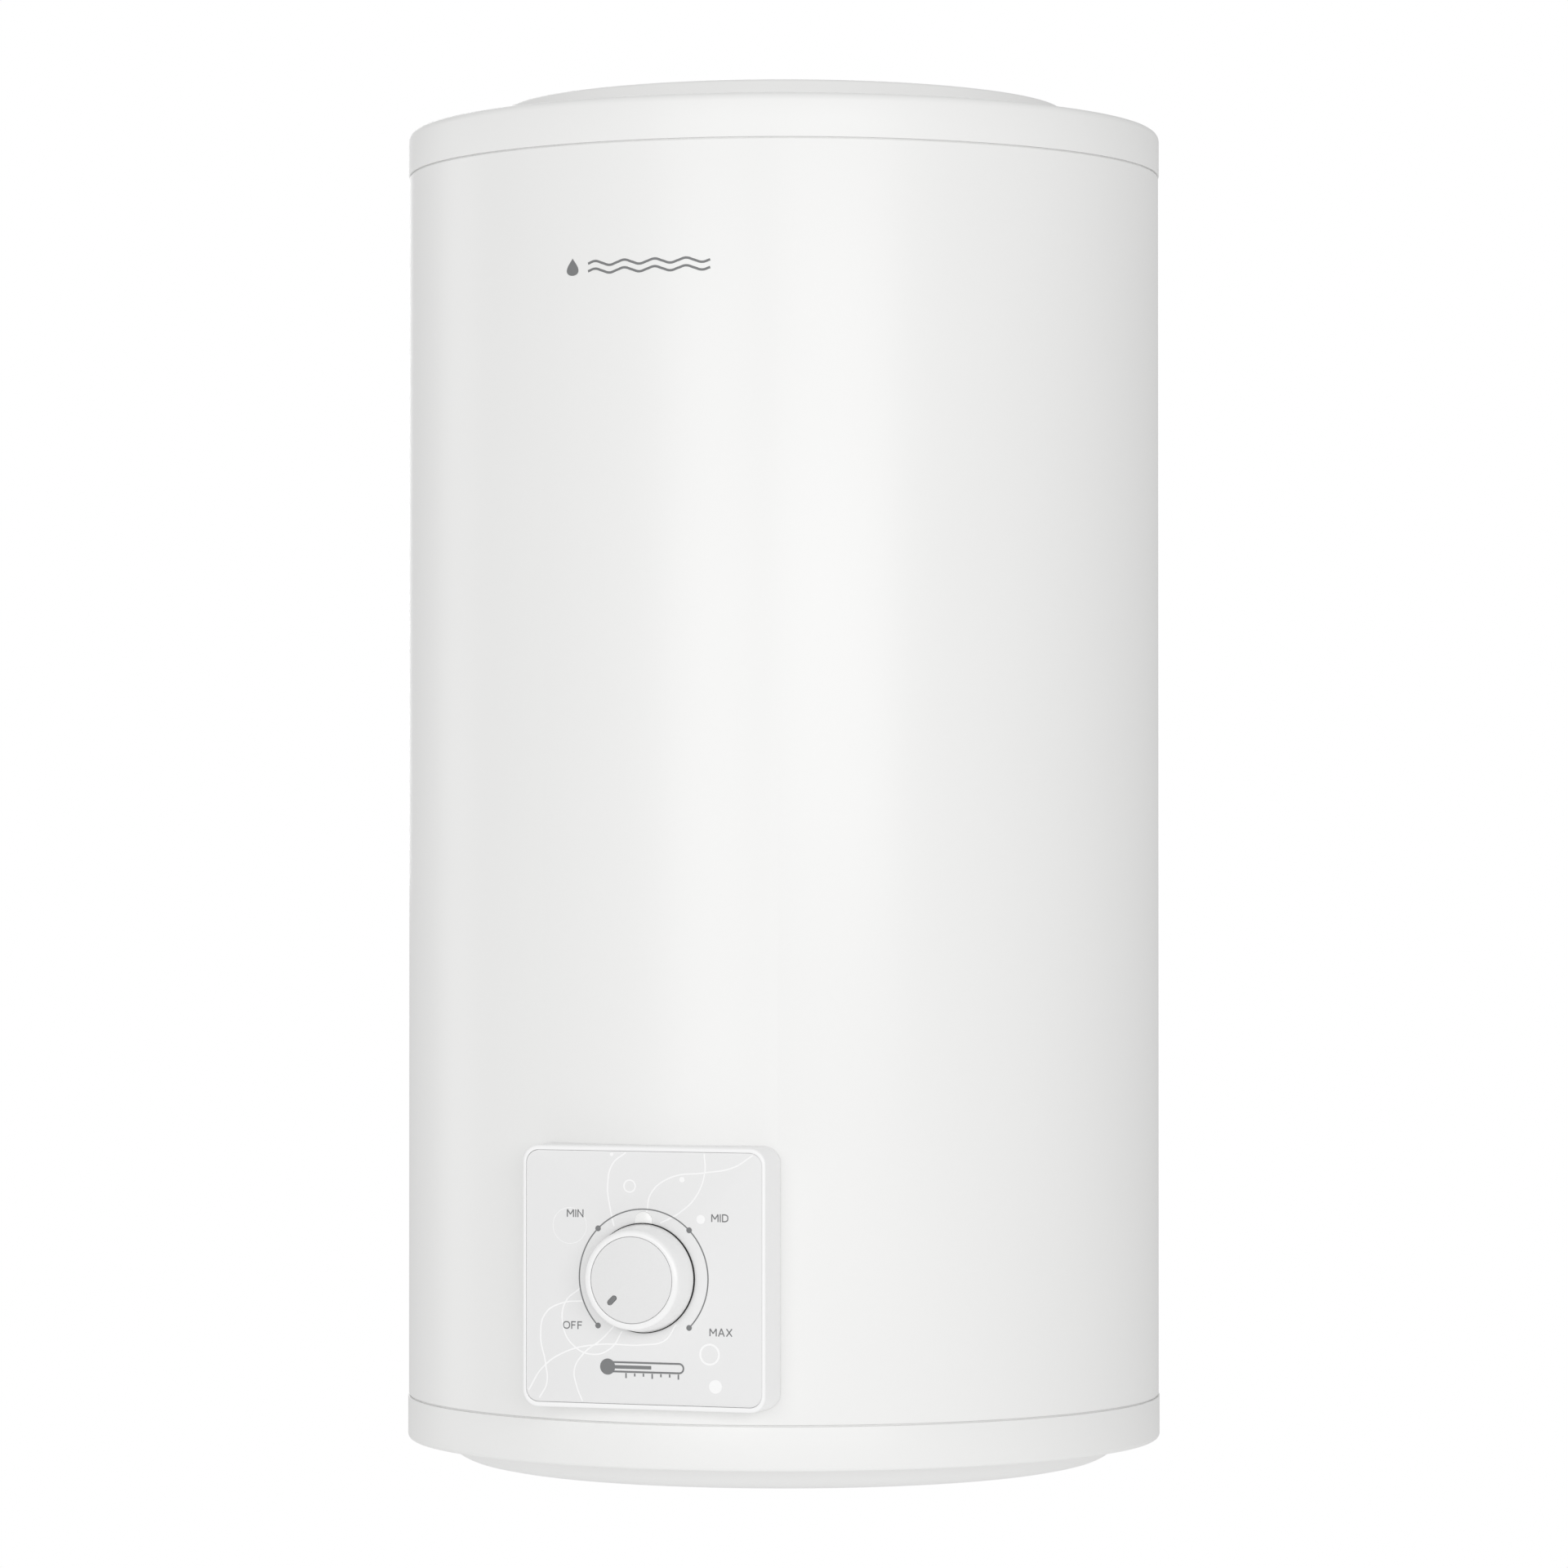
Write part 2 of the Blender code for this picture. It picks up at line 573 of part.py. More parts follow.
def make_insulation():
    """Foam between the jacket and the tank, closed over the tank's top."""
    neck = LIP_RADIUS - CAP_WALL - GAP
    lip = JACKET_TOP - CAP_LIP - GAP
    top = TOTAL_HEIGHT - DISC_HEIGHT - CAP_WALL - GAP
    outline = [(TANK_RADIUS + GAP, FOAM_BOTTOM), (LIP_RADIUS, FOAM_BOTTOM), (LIP_RADIUS, lip),
               (neck, lip), (neck, top), (0, top)]
    outline += reversed(dish_arc(TANK_RADIUS + GAP, DISH_DEPTH + GAP, TANK_TOP))
    foam = turned("insulation", outline, FOAM, sides=LARGE_SIDES)
    for index, x in enumerate((-HANGER_BOLT_X, HANGER_BOLT_X), 1):
        cut(foam, rod(f"foam_boss_cut_{index}", HANGER_BOSS_RADIUS + GAP, TANK_INSIDE - EMBED,
                      WALL_DEPTH, centre=(x, 0, HANGER_Z), facing=REAR))


# ---------------------------------------------------------------- tank

def dish_arc(radius, depth, base):
    """Half of a dished end's section, from its rim to its pole."""
    turns = [math.pi / 2 * step / DISH_STEPS for step in range(DISH_STEPS)]
    rim = [(radius * math.cos(turn), base + depth * math.sin(turn)) for turn in turns]
    return [*rim, (0, base + depth)]


def dish_outline():
    """A dished end with its straight flange, rim at height zero and pole above."""
    inside = DISH_RADIUS - TANK_WALL
    outline = [(inside, -DISH_FLANGE), (DISH_RADIUS, -DISH_FLANGE)]
    outline += dish_arc(DISH_RADIUS, DISH_DEPTH, 0)
    outline += reversed(dish_arc(inside, DISH_DEPTH - TANK_WALL, 0))
    return outline


def dish_height(distance):
    """Height of the lower dish's outside at a distance from the axis."""
    return TANK_BOTTOM - DISH_DEPTH * math.sqrt(1 - (distance / DISH_RADIUS) ** 2)


def make_tank():
    pipe("tank_shell", TANK_INSIDE, TANK_RADIUS, TANK_BOTTOM, TANK_TOP, ENAMEL_STEEL,
         sides=LARGE_SIDES)
    turned("tank_top_dish", dish_outline(), ENAMEL_STEEL, centre=(0, 0, TANK_TOP),
           sides=LARGE_SIDES)
    lower = turned("tank_bottom_dish", dish_outline(), ENAMEL_STEEL,
                   centre=(0, 0, TANK_BOTTOM), facing=DOWN, sides=LARGE_SIDES)
    cut(lower, rod("collar_cut", COLLAR_RADIUS + GAP, 0, TANK_BOTTOM, sides=24))
    for index, x in enumerate((-NIPPLE_X, NIPPLE_X), 1):
        cut(lower, rod(f"dish_nipple_cut_{index}", NIPPLE_RADIUS + GAP, 0, TANK_BOTTOM,
                       centre=(x, NIPPLE_Y, 0), sides=24))


def stud_places():
    turns = [math.pi / 2 + 2 * math.pi * stud / STUD_COUNT for stud in range(STUD_COUNT)]
    return [(STUD_CIRCLE * math.cos(turn), STUD_CIRCLE * math.sin(turn)) for turn in turns]


def make_flange():
    top = dish_height(COLLAR_RADIUS) + FLANGE_LIP
    inside = COLLAR_RADIUS - COLLAR_WALL
    lip_top = COLLAR_BOTTOM + FLANGE_LIP
    outline = [(inside, COLLAR_BOTTOM), (FLANGE_RADIUS, COLLAR_BOTTOM),
               (FLANGE_RADIUS, lip_top), (COLLAR_RADIUS, lip_top), (COLLAR_RADIUS, top),
               (inside, top)]
    collar = turned("flange_collar", outline, ENAMEL_STEEL, sides=24)
    pipe("flange_gasket", inside + GAP, GASKET_RADIUS, PLATE_TOP + GAP, GASKET_TOP,
         RUBBER, sides=24)
    plate = rod("flange_plate", FLANGE_RADIUS, PLATE_BOTTOM, PLATE_TOP, ZINC_STEEL, sides=24)
    for index, (x, y) in enumerate(stud_places(), 1):
        add(collar, rod(f"stud_{index}", STUD_RADIUS, STUD_BOTTOM,
                        COLLAR_BOTTOM + FLANGE_LIP / 2, centre=(x, y, 0), sides=12))
        cut(plate, rod(f"stud_cut_{index}", STUD_RADIUS + GAP, 0, TANK_BOTTOM,
                       centre=(x, y, 0), sides=12))
        nut(f"flange_nut_{index}", STUD_RADIUS + GAP, PLATE_BOTTOM - GAP - NUT_HEIGHT,
            NUT_HEIGHT, STUD_RADIUS + NUT_WALL, ZINC_STEEL, (x, y, 0))
    holes = [("element_cut_1", -ELEMENT_SPACING / 2, 0, ELEMENT_RADIUS + ELEMENT_JOINT),
             ("element_cut_2", ELEMENT_SPACING / 2, 0, ELEMENT_RADIUS + ELEMENT_JOINT),
             ("anode_cut", 0, ROD_OFFSET, ANODE_STUD_RADIUS + GAP),
             ("pocket_cut", 0, -ROD_OFFSET, POCKET_RADIUS + GAP)]
    for name, x, y, radius in holes:
        cut(plate, rod(name, radius, 0, TANK_BOTTOM, centre=(x, y, 0), sides=12))


def make_heating_element():
    """One sheathed bar, bent to a U, and its two terminal pins."""
    half = ELEMENT_SPACING / 2
    low = PLATE_BOTTOM - ELEMENT_TAIL
    bend = PLATE_TOP + ELEMENT_HEIGHT
    points = [(-half, 0, low)]
    points += [(x, 0, z) for x, z in reversed(arc((0, bend), half, 0, 180, 8))]
    points += [(half, 0, low)]
    bent_bar("heating_element", points, ELEMENT_RADIUS, COPPER, 2)
    for index, x in enumerate((-half, half), 1):
        rod(f"element_terminal_{index}", TERMINAL_RADIUS, low - GAP - TERMINAL_LENGTH,
            low - GAP, BRASS, (x, 0, 0), sides=12)


def make_anode():
    low = PLATE_TOP + GAP
    outline = [(0, low - ANODE_STUD_LENGTH), (ANODE_STUD_RADIUS, low - ANODE_STUD_LENGTH),
               (ANODE_STUD_RADIUS, low), (ANODE_RADIUS, low),
               (ANODE_RADIUS, low + ANODE_LENGTH), (0, low + ANODE_LENGTH)]
    turned("anode_rod", outline, MAGNESIUM, (0, ROD_OFFSET, 0), sides=12)


def make_thermometer_pocket():
    low = PLATE_BOTTOM - POCKET_TAIL
    high = low + POCKET_LENGTH
    bore = POCKET_RADIUS - POCKET_WALL
    outline = [(bore, low), (POCKET_RADIUS, low), (POCKET_RADIUS, high), (0, high),
               (0, high - POCKET_WALL), (bore, high - POCKET_WALL)]
    centre = (0, -ROD_OFFSET, 0)
    turned("thermometer_pocket", outline, COPPER, centre, sides=12)
    bulb_top = high - 2 * POCKET_WALL
    rod("thermostat_bulb", bore - BULB_CLEARANCE, bulb_top - BULB_LENGTH, bulb_top, COPPER,
        centre, sides=12)
    back = -FACE_DEPTH + BRACKET_DEPTH + BRACKET_SHEET + GAP + THERMOSTAT_DEPTH
    inlet = PANEL_Z - THERMOSTAT_SIZE / 4
    # Down out of the pocket, under the flange's rim, then up to the thermostat's back
    stops = [(0, -ROD_OFFSET, bulb_top - BULB_LENGTH - GAP),
             (0, -ROD_OFFSET, PLATE_BOTTOM + 0.0140), (0, -ROD_OFFSET, low - 0.0040),
             (0, -ROD_OFFSET - 0.0090, PLATE_BOTTOM - 0.0200),
             (0, -FLANGE_RADIUS, PLATE_BOTTOM - 0.0230),
             (0, back + 0.0400, PLATE_BOTTOM - 0.0140),
             (0, back + 0.0130, inlet - 0.0120),
             (0, back + 0.0060, inlet), (0, back + GAP, inlet)]
    bent_bar("capillary_tube", smooth_route(stops, 3), CAPILLARY_RADIUS, COPPER)


# ---------------------------------------------------------------- water connections

def make_connections():
    top = dish_height(math.hypot(NIPPLE_X, NIPPLE_Y)) + NIPPLE_STANDOFF
    for name, x, colour in (("hot", -NIPPLE_X, RED_PLASTIC), ("cold", NIPPLE_X, BLUE_PLASTIC)):
        centre = (x, NIPPLE_Y, 0)
        pipe(f"{name}_nipple", NIPPLE_BORE, NIPPLE_RADIUS, -NIPPLE_DROP, top, ZINC_STEEL,
             centre, sides=24)
        ring = NIPPLE_RADIUS + GAP
        pipe(f"{name}_ring", ring, ring + RING_WIDTH, -RING_THICKNESS - GAP, -GAP, colour,
             centre, sides=24)
    dip_bottom = top - DIP_OVERLAP
    pipe("hot_dip_tube", DIP_RADIUS - DIP_WALL, DIP_RADIUS, dip_bottom, TANK_TOP + DIP_RISE,
         WHITE_PLASTIC, (-NIPPLE_X, NIPPLE_Y, 0), sides=24)
    plate_low = top + DIFFUSER_RISE
    plate_high = plate_low + DIFFUSER_THICKNESS
    bore = DIP_RADIUS - DIP_WALL
    rim = DIP_RADIUS + DIFFUSER_REACH
    outline = [(bore, dip_bottom), (DIP_RADIUS, dip_bottom), (DIP_RADIUS, plate_low),
               (rim, plate_low), (rim, plate_high), (0, plate_high),
               (0, plate_low), (bore, plate_low)]
    centre = (NIPPLE_X, NIPPLE_Y, 0)
    diffuser = turned("inlet_diffuser", outline, WHITE_PLASTIC, centre, sides=24)
    wide, narrow = rim, DIP_RADIUS / 2
    low, high = top + DIFFUSER_SLOT_LOW, top + DIFFUSER_SLOT_HIGH
    cut(diffuser,
        block("diffuser_slot_1", (-wide, -narrow, low), (wide, narrow, high), centre=centre),
        block("diffuser_slot_2", (-narrow, -wide, low), (narrow, wide, high), centre=centre))


def make_cable_gland():
    """Entry for the supply cable: a threaded body and its outer nut."""
    centre = (0, GLAND_Y, 0)
    shoulder = -GAP - GLAND_RIM_HEIGHT
    nut_end = -GLAND_DROP - GLAND_NUT_END
    outline = [(GLAND_BORE, -GLAND_DROP), (GLAND_THREAD, -GLAND_DROP),
               (GLAND_THREAD, shoulder), (GLAND_FLANGE, shoulder), (GLAND_FLANGE, -GAP),
               (GLAND_THREAD, -GAP), (GLAND_THREAD, GLAND_INSIDE), (GLAND_BORE, GLAND_INSIDE)]
    turned("cable_gland", outline, BLACK_PLASTIC, centre)
    inner = GLAND_THREAD + GAP
    outline = [(GLAND_BORE, nut_end), (GLAND_THREAD, nut_end),
               (GLAND_FLANGE, -GLAND_DROP), (GLAND_FLANGE, shoulder - GAP),
               (inner, shoulder - GAP), (inner, -GLAND_DROP - GAP),
               (GLAND_BORE, -GLAND_DROP - GAP)]
    turned("gland_nut", outline, BLACK_PLASTIC, centre)


# ---------------------------------------------------------------- control panel

def panel_centre():
    return (0, -FACE_DEPTH, PANEL_Z)


def panel_piece(name, outline, low, high, look=None):
    """An outline raised out of the panel's face, low and high from the face's front."""
    return extruded(name, outline, low, high, look, panel_centre(), FRONT)


def panel_rod(name, x, y, radius, low, high, look=None, sides=12):
    centre = (x, -FACE_DEPTH, PANEL_Z + y)
    return rod(name, radius, low, high, look, centre, FRONT, sides)


def make_panel_frame():
    """White surround: a wall down to the jacket, a ledge for the face and two posts."""
    depth = FACE_DEPTH - math.sqrt(JACKET_RADIUS ** 2 - FRAME_WIDTH ** 2 / 4) + EMBED
    ledge = -FACE_THICKNESS - GAP
    frame = panel_piece("panel_frame",
                        rounded_rectangle(FRAME_WIDTH, FRAME_HEIGHT, FRAME_CORNER),
                        -depth, FRAME_PROUD, WHITE_PLASTIC)
    width, height = FRAME_WIDTH - 2 * FRAME_BORDER_X, FRAME_HEIGHT - 2 * FRAME_BORDER_Y
    cut(frame,
        panel_piece("face_pocket_cut", rounded_rectangle(width, height, FACE_CORNER + GAP),
                    ledge, REACH),
        panel_piece("frame_inside_cut",
                    rounded_rectangle(width - 2 * LEDGE_WIDTH, height - 2 * LEDGE_WIDTH,
                                      FACE_CORNER / 2),
                    -depth - REACH, REACH),
        jacket_surface("frame_jacket_cut"))
    for index, x in enumerate((-POST_X, POST_X), 1):
        add(frame, panel_rod(f"panel_post_{index}", x, 0, POST_RADIUS, -BRACKET_DEPTH + GAP,
                             ledge - GAP))
        cut(frame, panel_rod(f"panel_post_hole_{index}", x, 0, SCREW_HOLE, -BRACKET_DEPTH,
                             -BRACKET_DEPTH + BRACKET_SCREW_LENGTH))


def lens_outline(grow=0.0):
    """A strip with a round top; grow widens it all round."""
    radius = LENS_WIDTH / 2 + grow
    bottom = LENS_CENTRE - LENS_STRAIGHT - grow
    top = arc((0, LENS_CENTRE), radius, 0, 180, 10)
    return [*top, (-radius, bottom), (radius, bottom)]


def make_panel_face():
    face = panel_piece("panel_face", rounded_rectangle(FACE_WIDTH, FACE_HEIGHT, FACE_CORNER),
                       -FACE_THICKNESS, 0, PALE_GREY_PLASTIC)
    cut(face,
        panel_rod("face_spindle_cut", 0, 0, SPINDLE_RADIUS + SPINDLE_CLEARANCE, -REACH, REACH),
        panel_piece("face_lens_cut", lens_outline(GAP), -REACH, REACH))
    panel_piece("indicator_lens", lens_outline(), LENS_PROUD - LENS_THICKNESS, LENS_PROUD,
                LENS_PLASTIC)
    lamp_front = LENS_PROUD - LENS_THICKNESS - GAP
    panel_rod("indicator_lamp", 0, LENS_CENTRE, LAMP_RADIUS, lamp_front - LAMP_LENGTH,
              lamp_front, AMBER_GLASS)


def make_thermostat():
    """Thermostat, cut-out with its reset button, and the bracket that carries them."""
    front, back = -BRACKET_DEPTH, -BRACKET_DEPTH - BRACKET_SHEET
    reach = JACKET_INSIDE * math.cos(math.pi / LARGE_SIDES) - GAP
    half = math.sqrt(reach ** 2 - (FACE_DEPTH + front) ** 2)
    bracket = panel_piece("thermostat_bracket",
                          rounded_rectangle(2 * half, BRACKET_HEIGHT, BRACKET_CORNER, 2),
                          back, front, ZINC_STEEL)
    cut(bracket, panel_rod("bracket_spindle_cut", 0, 0,
                           SPINDLE_RADIUS + SPINDLE_CLEARANCE, -REACH, 0))
    body_front = back - GAP
    side = THERMOSTAT_SIZE
    body = panel_piece("thermostat_body", rounded_rectangle(side, side, HOUSING_CORNER, 1),
                       body_front - THERMOSTAT_DEPTH, body_front, BLACK_PLASTIC)
    cut(body, panel_rod("spindle_bore", 0, 0, SPINDLE_RADIUS + RUNNING_GAP,
                        SPINDLE_BACK - GAP, 0, sides=24))
    for index, x in enumerate((-THERMOSTAT_SCREW_X, THERMOSTAT_SCREW_X), 1):
        screw(f"thermostat_screw_{index}", SCREW_RADIUS, SCREW_LENGTH, SCREW_HEAD_RADIUS,
              SCREW_HEAD_HEIGHT, ZINC_STEEL, (x, -FACE_DEPTH - front - GAP, PANEL_Z), FRONT)
        for piece, label in ((bracket, "bracket"), (body, "body")):
            cut(piece, panel_rod(f"{label}_screw_cut_{index}", x, 0, SCREW_HOLE,
                                 front - SCREW_LENGTH - GAP, 0))
    for index, x in enumerate((-POST_X, POST_X), 1):
        screw(f"bracket_screw_{index}", SCREW_RADIUS, BRACKET_SCREW_LENGTH, SCREW_HEAD_RADIUS,
              SCREW_HEAD_HEIGHT, ZINC_STEEL, (x, -FACE_DEPTH - back + GAP, PANEL_Z), REAR)
        cut(bracket, panel_rod(f"bracket_post_cut_{index}", x, 0, SCREW_HOLE, -REACH, 0))
    make_cutout(body_front)


def make_cutout(front):
    outline = [(x + CUTOUT_X, y) for x, y in
               rounded_rectangle(CUTOUT_WIDTH, CUTOUT_HEIGHT, HOUSING_CORNER, 1)]
    cutout = panel_piece("safety_cutout", outline, front - CUTOUT_DEPTH, front, BLACK_PLASTIC)
    centre = (CUTOUT_X, -FACE_DEPTH - front + CUTOUT_DEPTH / 2, PANEL_Z - CUTOUT_HEIGHT / 2)
    cut(cutout, rod("button_bore", BUTTON_RADIUS + RUNNING_GAP, -REACH,
                    BUTTON_IN + BUTTON_TRAVEL + GAP, centre=centre, sides=24))
    outline = [(0, -BUTTON_OUT), (BUTTON_RADIUS - BUTTON_EDGE, -BUTTON_OUT),
               (BUTTON_RADIUS, BUTTON_EDGE - BUTTON_OUT), (BUTTON_RADIUS, BUTTON_IN),
               (0, BUTTON_IN)]
    turned("reset_button", outline, RED_PLASTIC, centre, sides=24)


# ---------------------------------------------------------------- knob

def knob_outline():
    """The knob's section: a hollow cup with a ring, a recess in front and a hub."""
    floor = KNOB_FRONT - KNOB_RECESS
    under = floor - KNOB_WALL
    bore = SPINDLE_RADIUS + GAP
    hub = bore + HUB_WALL
    bore_top = under - KNOB_WALL
    hub_end = 2 * KNOB_LIFT
    corner = (KNOB_FRONT_RADIUS - KNOB_ROUND, KNOB_FRONT - KNOB_ROUND)
    outside = [(KNOB_RADIUS - KNOB_WALL, KNOB_LIFT), (KNOB_RADIUS, KNOB_LIFT)]
    outside += arc(corner, KNOB_ROUND, 0, 90, 3)
    outside += [(KNOB_DISC_RADIUS, KNOB_FRONT), (KNOB_DISC_RADIUS, floor), (0, floor)]
    core = [(0, bore_top), (bore, bore_top), (bore, hub_end), (hub, hub_end)]
    return [*outside, *core, (hub, under), (KNOB_FRONT_RADIUS - KNOB_WALL, under)]


def make_knob():
    """Knob, inset disc, pointer and spindle, all carried by an empty on their axis."""
    axis = bpy.data.objects.new("knob_axis", None)
    axis.location = panel_centre()
    axis.rotation_euler = FRONT
    bpy.context.collection.objects.link(axis)
    floor = KNOB_FRONT - KNOB_RECESS
    disc_low, disc_high = floor + GAP, floor + GAP + DISC_THICKNESS
    along = (math.cos(POINTER_ANGLE), math.sin(POINTER_ANGLE))
    across = (-along[1], along[0])

    def pointer_outline(grow):
        corners = rounded_rectangle(POINTER_LENGTH + 2 * grow, POINTER_WIDTH + 2 * grow,
                                    POINTER_WIDTH / 2 + grow, 3)
        return [((POINTER_RADIUS + x) * along[0] + y * across[0],
                 (POINTER_RADIUS + x) * along[1] + y * across[1]) for x, y in corners]

    origin = (0, 0, 0)
    disc = rod("knob_disc", KNOB_DISC_RADIUS - GAP, disc_low, disc_high, PALE_GREY_PLASTIC,
               origin, UP, KNOB_SIDES)
    slot = extruded("pointer_cut", pointer_outline(GAP), 0, REACH)
    cut(disc, slot)
    pieces = [
        turned("knob", knob_outline(), WHITE_PLASTIC, origin, UP, KNOB_SIDES),
        extruded("knob_pointer", pointer_outline(0), disc_low, disc_high + GAP,
                 DARK_GREY_PLASTIC),
        rod("thermostat_spindle", SPINDLE_RADIUS, SPINDLE_BACK,
            floor - 2 * KNOB_WALL - GAP, BRASS, origin, UP, 24),
        disc, slot]
    for piece in pieces:
        piece.parent = axis


# ---------------------------------------------------------------- wall fixing

def hanger_outline():
    """Hat section, as (depth from the axis, height) points."""
    web, near, far = HANGER_WEB, WALL_DEPTH - HANGER_SHEET, WALL_DEPTH
    half = HANGER_WEB_HEIGHT / 2
    tip = half + HANGER_FLANGE
    inner = half - HANGER_SHEET
    upper = [(far, tip), (near, tip), (near, half), (web, half)]
    lower = [(web, -half), (near, -half), (near, -tip), (far, -tip)]
    return [*upper, *lower, (far, -inner), (web + HANGER_SHEET, -inner),
            (web + HANGER_SHEET, inner), (far, inner)]


def make_hanger():
    shape = bmesh.new()
    half = HANGER_WIDTH / 2
    rings = [[shape.verts.new((x, y, z)) for y, z in hanger_outline()] for x in (-half, half)]
    bridge(shape, *rings)
    for ring in rings:
        shape.faces.new(ring)
    hanger = solid("hanger_bracket", shape, ZINC_STEEL, (0, 0, HANGER_Z), UP)
    slot = rounded_rectangle(HOOK_SLOT_LENGTH, HOOK_SLOT_WIDTH, HOOK_SLOT_WIDTH / 2 - GAP)
    for index, sign in enumerate((-1, 1), 1):
        cut(hanger, extruded(f"hook_slot_cut_{index}", slot, HANGER_WEB, WALL_DEPTH + REACH,
                             centre=(sign * HOOK_X, 0, HOOK_Z), facing=REAR))
        make_hanger_boss(hanger, index, sign * HANGER_BOLT_X)


def make_hanger_boss(hanger, index, x):
    """Threaded boss welded to the tank, and the bolt that holds the bracket on it."""
    centre = (x, 0, HANGER_Z)
    seat = HANGER_WEB + HANGER_SHEET + GAP
    bolt_end = seat - HANGER_BOLT_LENGTH
    boss = rod(f"hanger_boss_{index}", HANGER_BOSS_RADIUS, TANK_INSIDE - EMBED,
               HANGER_WEB - GAP, ENAMEL_STEEL, centre, REAR)
    tank = rod(f"boss_tank_cut_{index}", TANK_RADIUS + GAP, TANK_BOTTOM, TANK_TOP,
               sides=LARGE_SIDES)
    thread = rod(f"boss_thread_cut_{index}", HANGER_BOLT_RADIUS + GAP, bolt_end - GAP,
                 WALL_DEPTH, centre=centre, facing=REAR)
    cut(boss, tank, thread)
    cut(hanger, rod(f"hanger_bolt_cut_{index}", HANGER_BOLT_RADIUS + GAP, HANGER_WEB - EMBED,
                    WALL_DEPTH, centre=centre, facing=REAR))
    bolt = rod(f"hanger_bolt_{index}", HANGER_BOLT_RADIUS, bolt_end, seat + GAP, ZINC_STEEL,
               centre, REAR)
    head = circle(HANGER_BOLT_RADIUS + HANGER_HEAD_RIM, 6)
    add(bolt, extruded(f"bolt_head_{index}", head, seat, seat + HANGER_HEAD_HEIGHT,
                       centre=centre, facing=REAR))


def make_lower_spacer():
    """Block that holds the heater's lower end off the wall, and its screw."""
    centre = (0, 0, SPACER_Z)
    spacer = extruded("lower_spacer",
                      rounded_rectangle(SPACER_WIDTH, SPACER_HEIGHT, SPACER_CORNER),
                      TANK_RADIUS, WALL_DEPTH, DARK_GREY_PLASTIC, centre, REAR)
    seat = WALL_DEPTH - SPACER_RECESS
    cut(spacer, jacket_surface("spacer_jacket_cut"),
        rod("spacer_recess_cut", SCREW_HEAD_RADIUS + SPACER_RECESS_ROOM, seat, WALL_DEPTH + REACH,
            centre=centre, facing=REAR, sides=12),
        rod("spacer_hole_cut", SCREW_HOLE, 0, WALL_DEPTH + REACH, centre=centre,
            facing=REAR, sides=12))
    screw("spacer_screw", SCREW_RADIUS, SPACER_SCREW_LENGTH, SCREW_HEAD_RADIUS,
          SCREW_HEAD_HEIGHT, ZINC_STEEL, (0, seat + GAP, SPACER_Z), REAR)


# ---------------------------------------------------------------- wiring

def make_wiring():
    """Terminal block on the bottom cap and the three inner wires."""
    width, depth, height = BLOCK_SIZE
    base = CAP_WALL + GAP
    block("terminal_block", (-width / 2, BLOCK_Y - depth / 2, base),
          (width / 2, BLOCK_Y + depth / 2, base + height), WHITE_PLASTIC)
    body_back = -FACE_DEPTH + BRACKET_DEPTH + BRACKET_SHEET + GAP + THERMOSTAT_DEPTH + GAP
    cutout_back = body_back - THERMOSTAT_DEPTH + CUTOUT_DEPTH
    # Out of the block, round the service opening, then up to the cut-out's back
    outside = -COVER_WIDTH / 2
    supply = [(-width / 2 - GAP, BLOCK_Y, base + height / 2),
              (-width / 2 - 0.0150, BLOCK_Y - 0.0020, base + height / 2),
              (outside - 0.0040, BLOCK_Y - 0.0320, base + 0.0090),
              (outside - 0.0160, COVER_Y + 0.0150, base + 0.0150),
              (CUTOUT_X - 0.0270, cutout_back + 0.0440, PANEL_Z - 0.0660),
              (CUTOUT_X - 0.0100, cutout_back + 0.0120, PANEL_Z - 0.0220),
              (CUTOUT_X, cutout_back + 0.0060, PANEL_Z), (CUTOUT_X, cutout_back, PANEL_Z)]
    bent_bar("wire_supply", smooth_route(supply, 3), WIRE_RADIUS, BLACK_PLASTIC)
    pin = PLATE_BOTTOM - ELEMENT_TAIL - 2 * GAP - TERMINAL_LENGTH
    for index, sign in enumerate((-1, 1), 1):
        x = sign * ELEMENT_SPACING / 2
        outlet = sign * THERMOSTAT_SIZE * 0.28
        start = PANEL_Z + THERMOSTAT_SIZE / 4
        # Out of the thermostat's back, down under the pins, then up on to one
        stops = [(outlet, body_back, start), (outlet, body_back + 0.0060, start),
                 (outlet + sign * 0.0030, body_back + 0.0170, PANEL_Z - 0.0200),
                 (x + sign * 0.0030, body_back / 2 - 0.0160, pin - 0.0010),
                 (x, -0.0300, pin - 0.0110), (x, -0.0060, pin - 0.0070),
                 (x, 0, pin - 0.0040), (x, 0, pin)]
        bent_bar(f"wire_element_{index}", smooth_route(stops, 3), WIRE_RADIUS,
                 RED_PLASTIC if index == 1 else BLUE_PLASTIC)


def move_to_origin():
    """Shift everything so that the origin is on the wall, between the hook slots."""
    for piece in bpy.data.objects:
        if piece.parent is None:
            piece.location -= Vector((0, WALL_DEPTH, HOOK_Z))


def main():
    for leftover in list(bpy.data.objects):
        bpy.data.objects.remove(leftover)
    make_jacket()
    make_top_cap()
    make_bottom_cap()
    make_service_cover()
    make_insulation()
    make_tank()
    make_flange()
    make_heating_element()
    make_anode()
    make_thermometer_pocket()
    make_connections()
    make_cable_gland()
    make_panel_frame()
    make_panel_face()
    make_thermostat()
    make_knob()
    make_hanger()
    make_lower_spacer()
    make_wiring()
    move_to_origin()


main()
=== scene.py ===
"""A wall-hung tank water heater: fine pieces, finishes and a studio stage.

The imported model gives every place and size. Each operator below models one piece or one group
of like pieces on it, and the last one sets the stage. Metres, +Z up, the panel faces -Y.
"""
import math

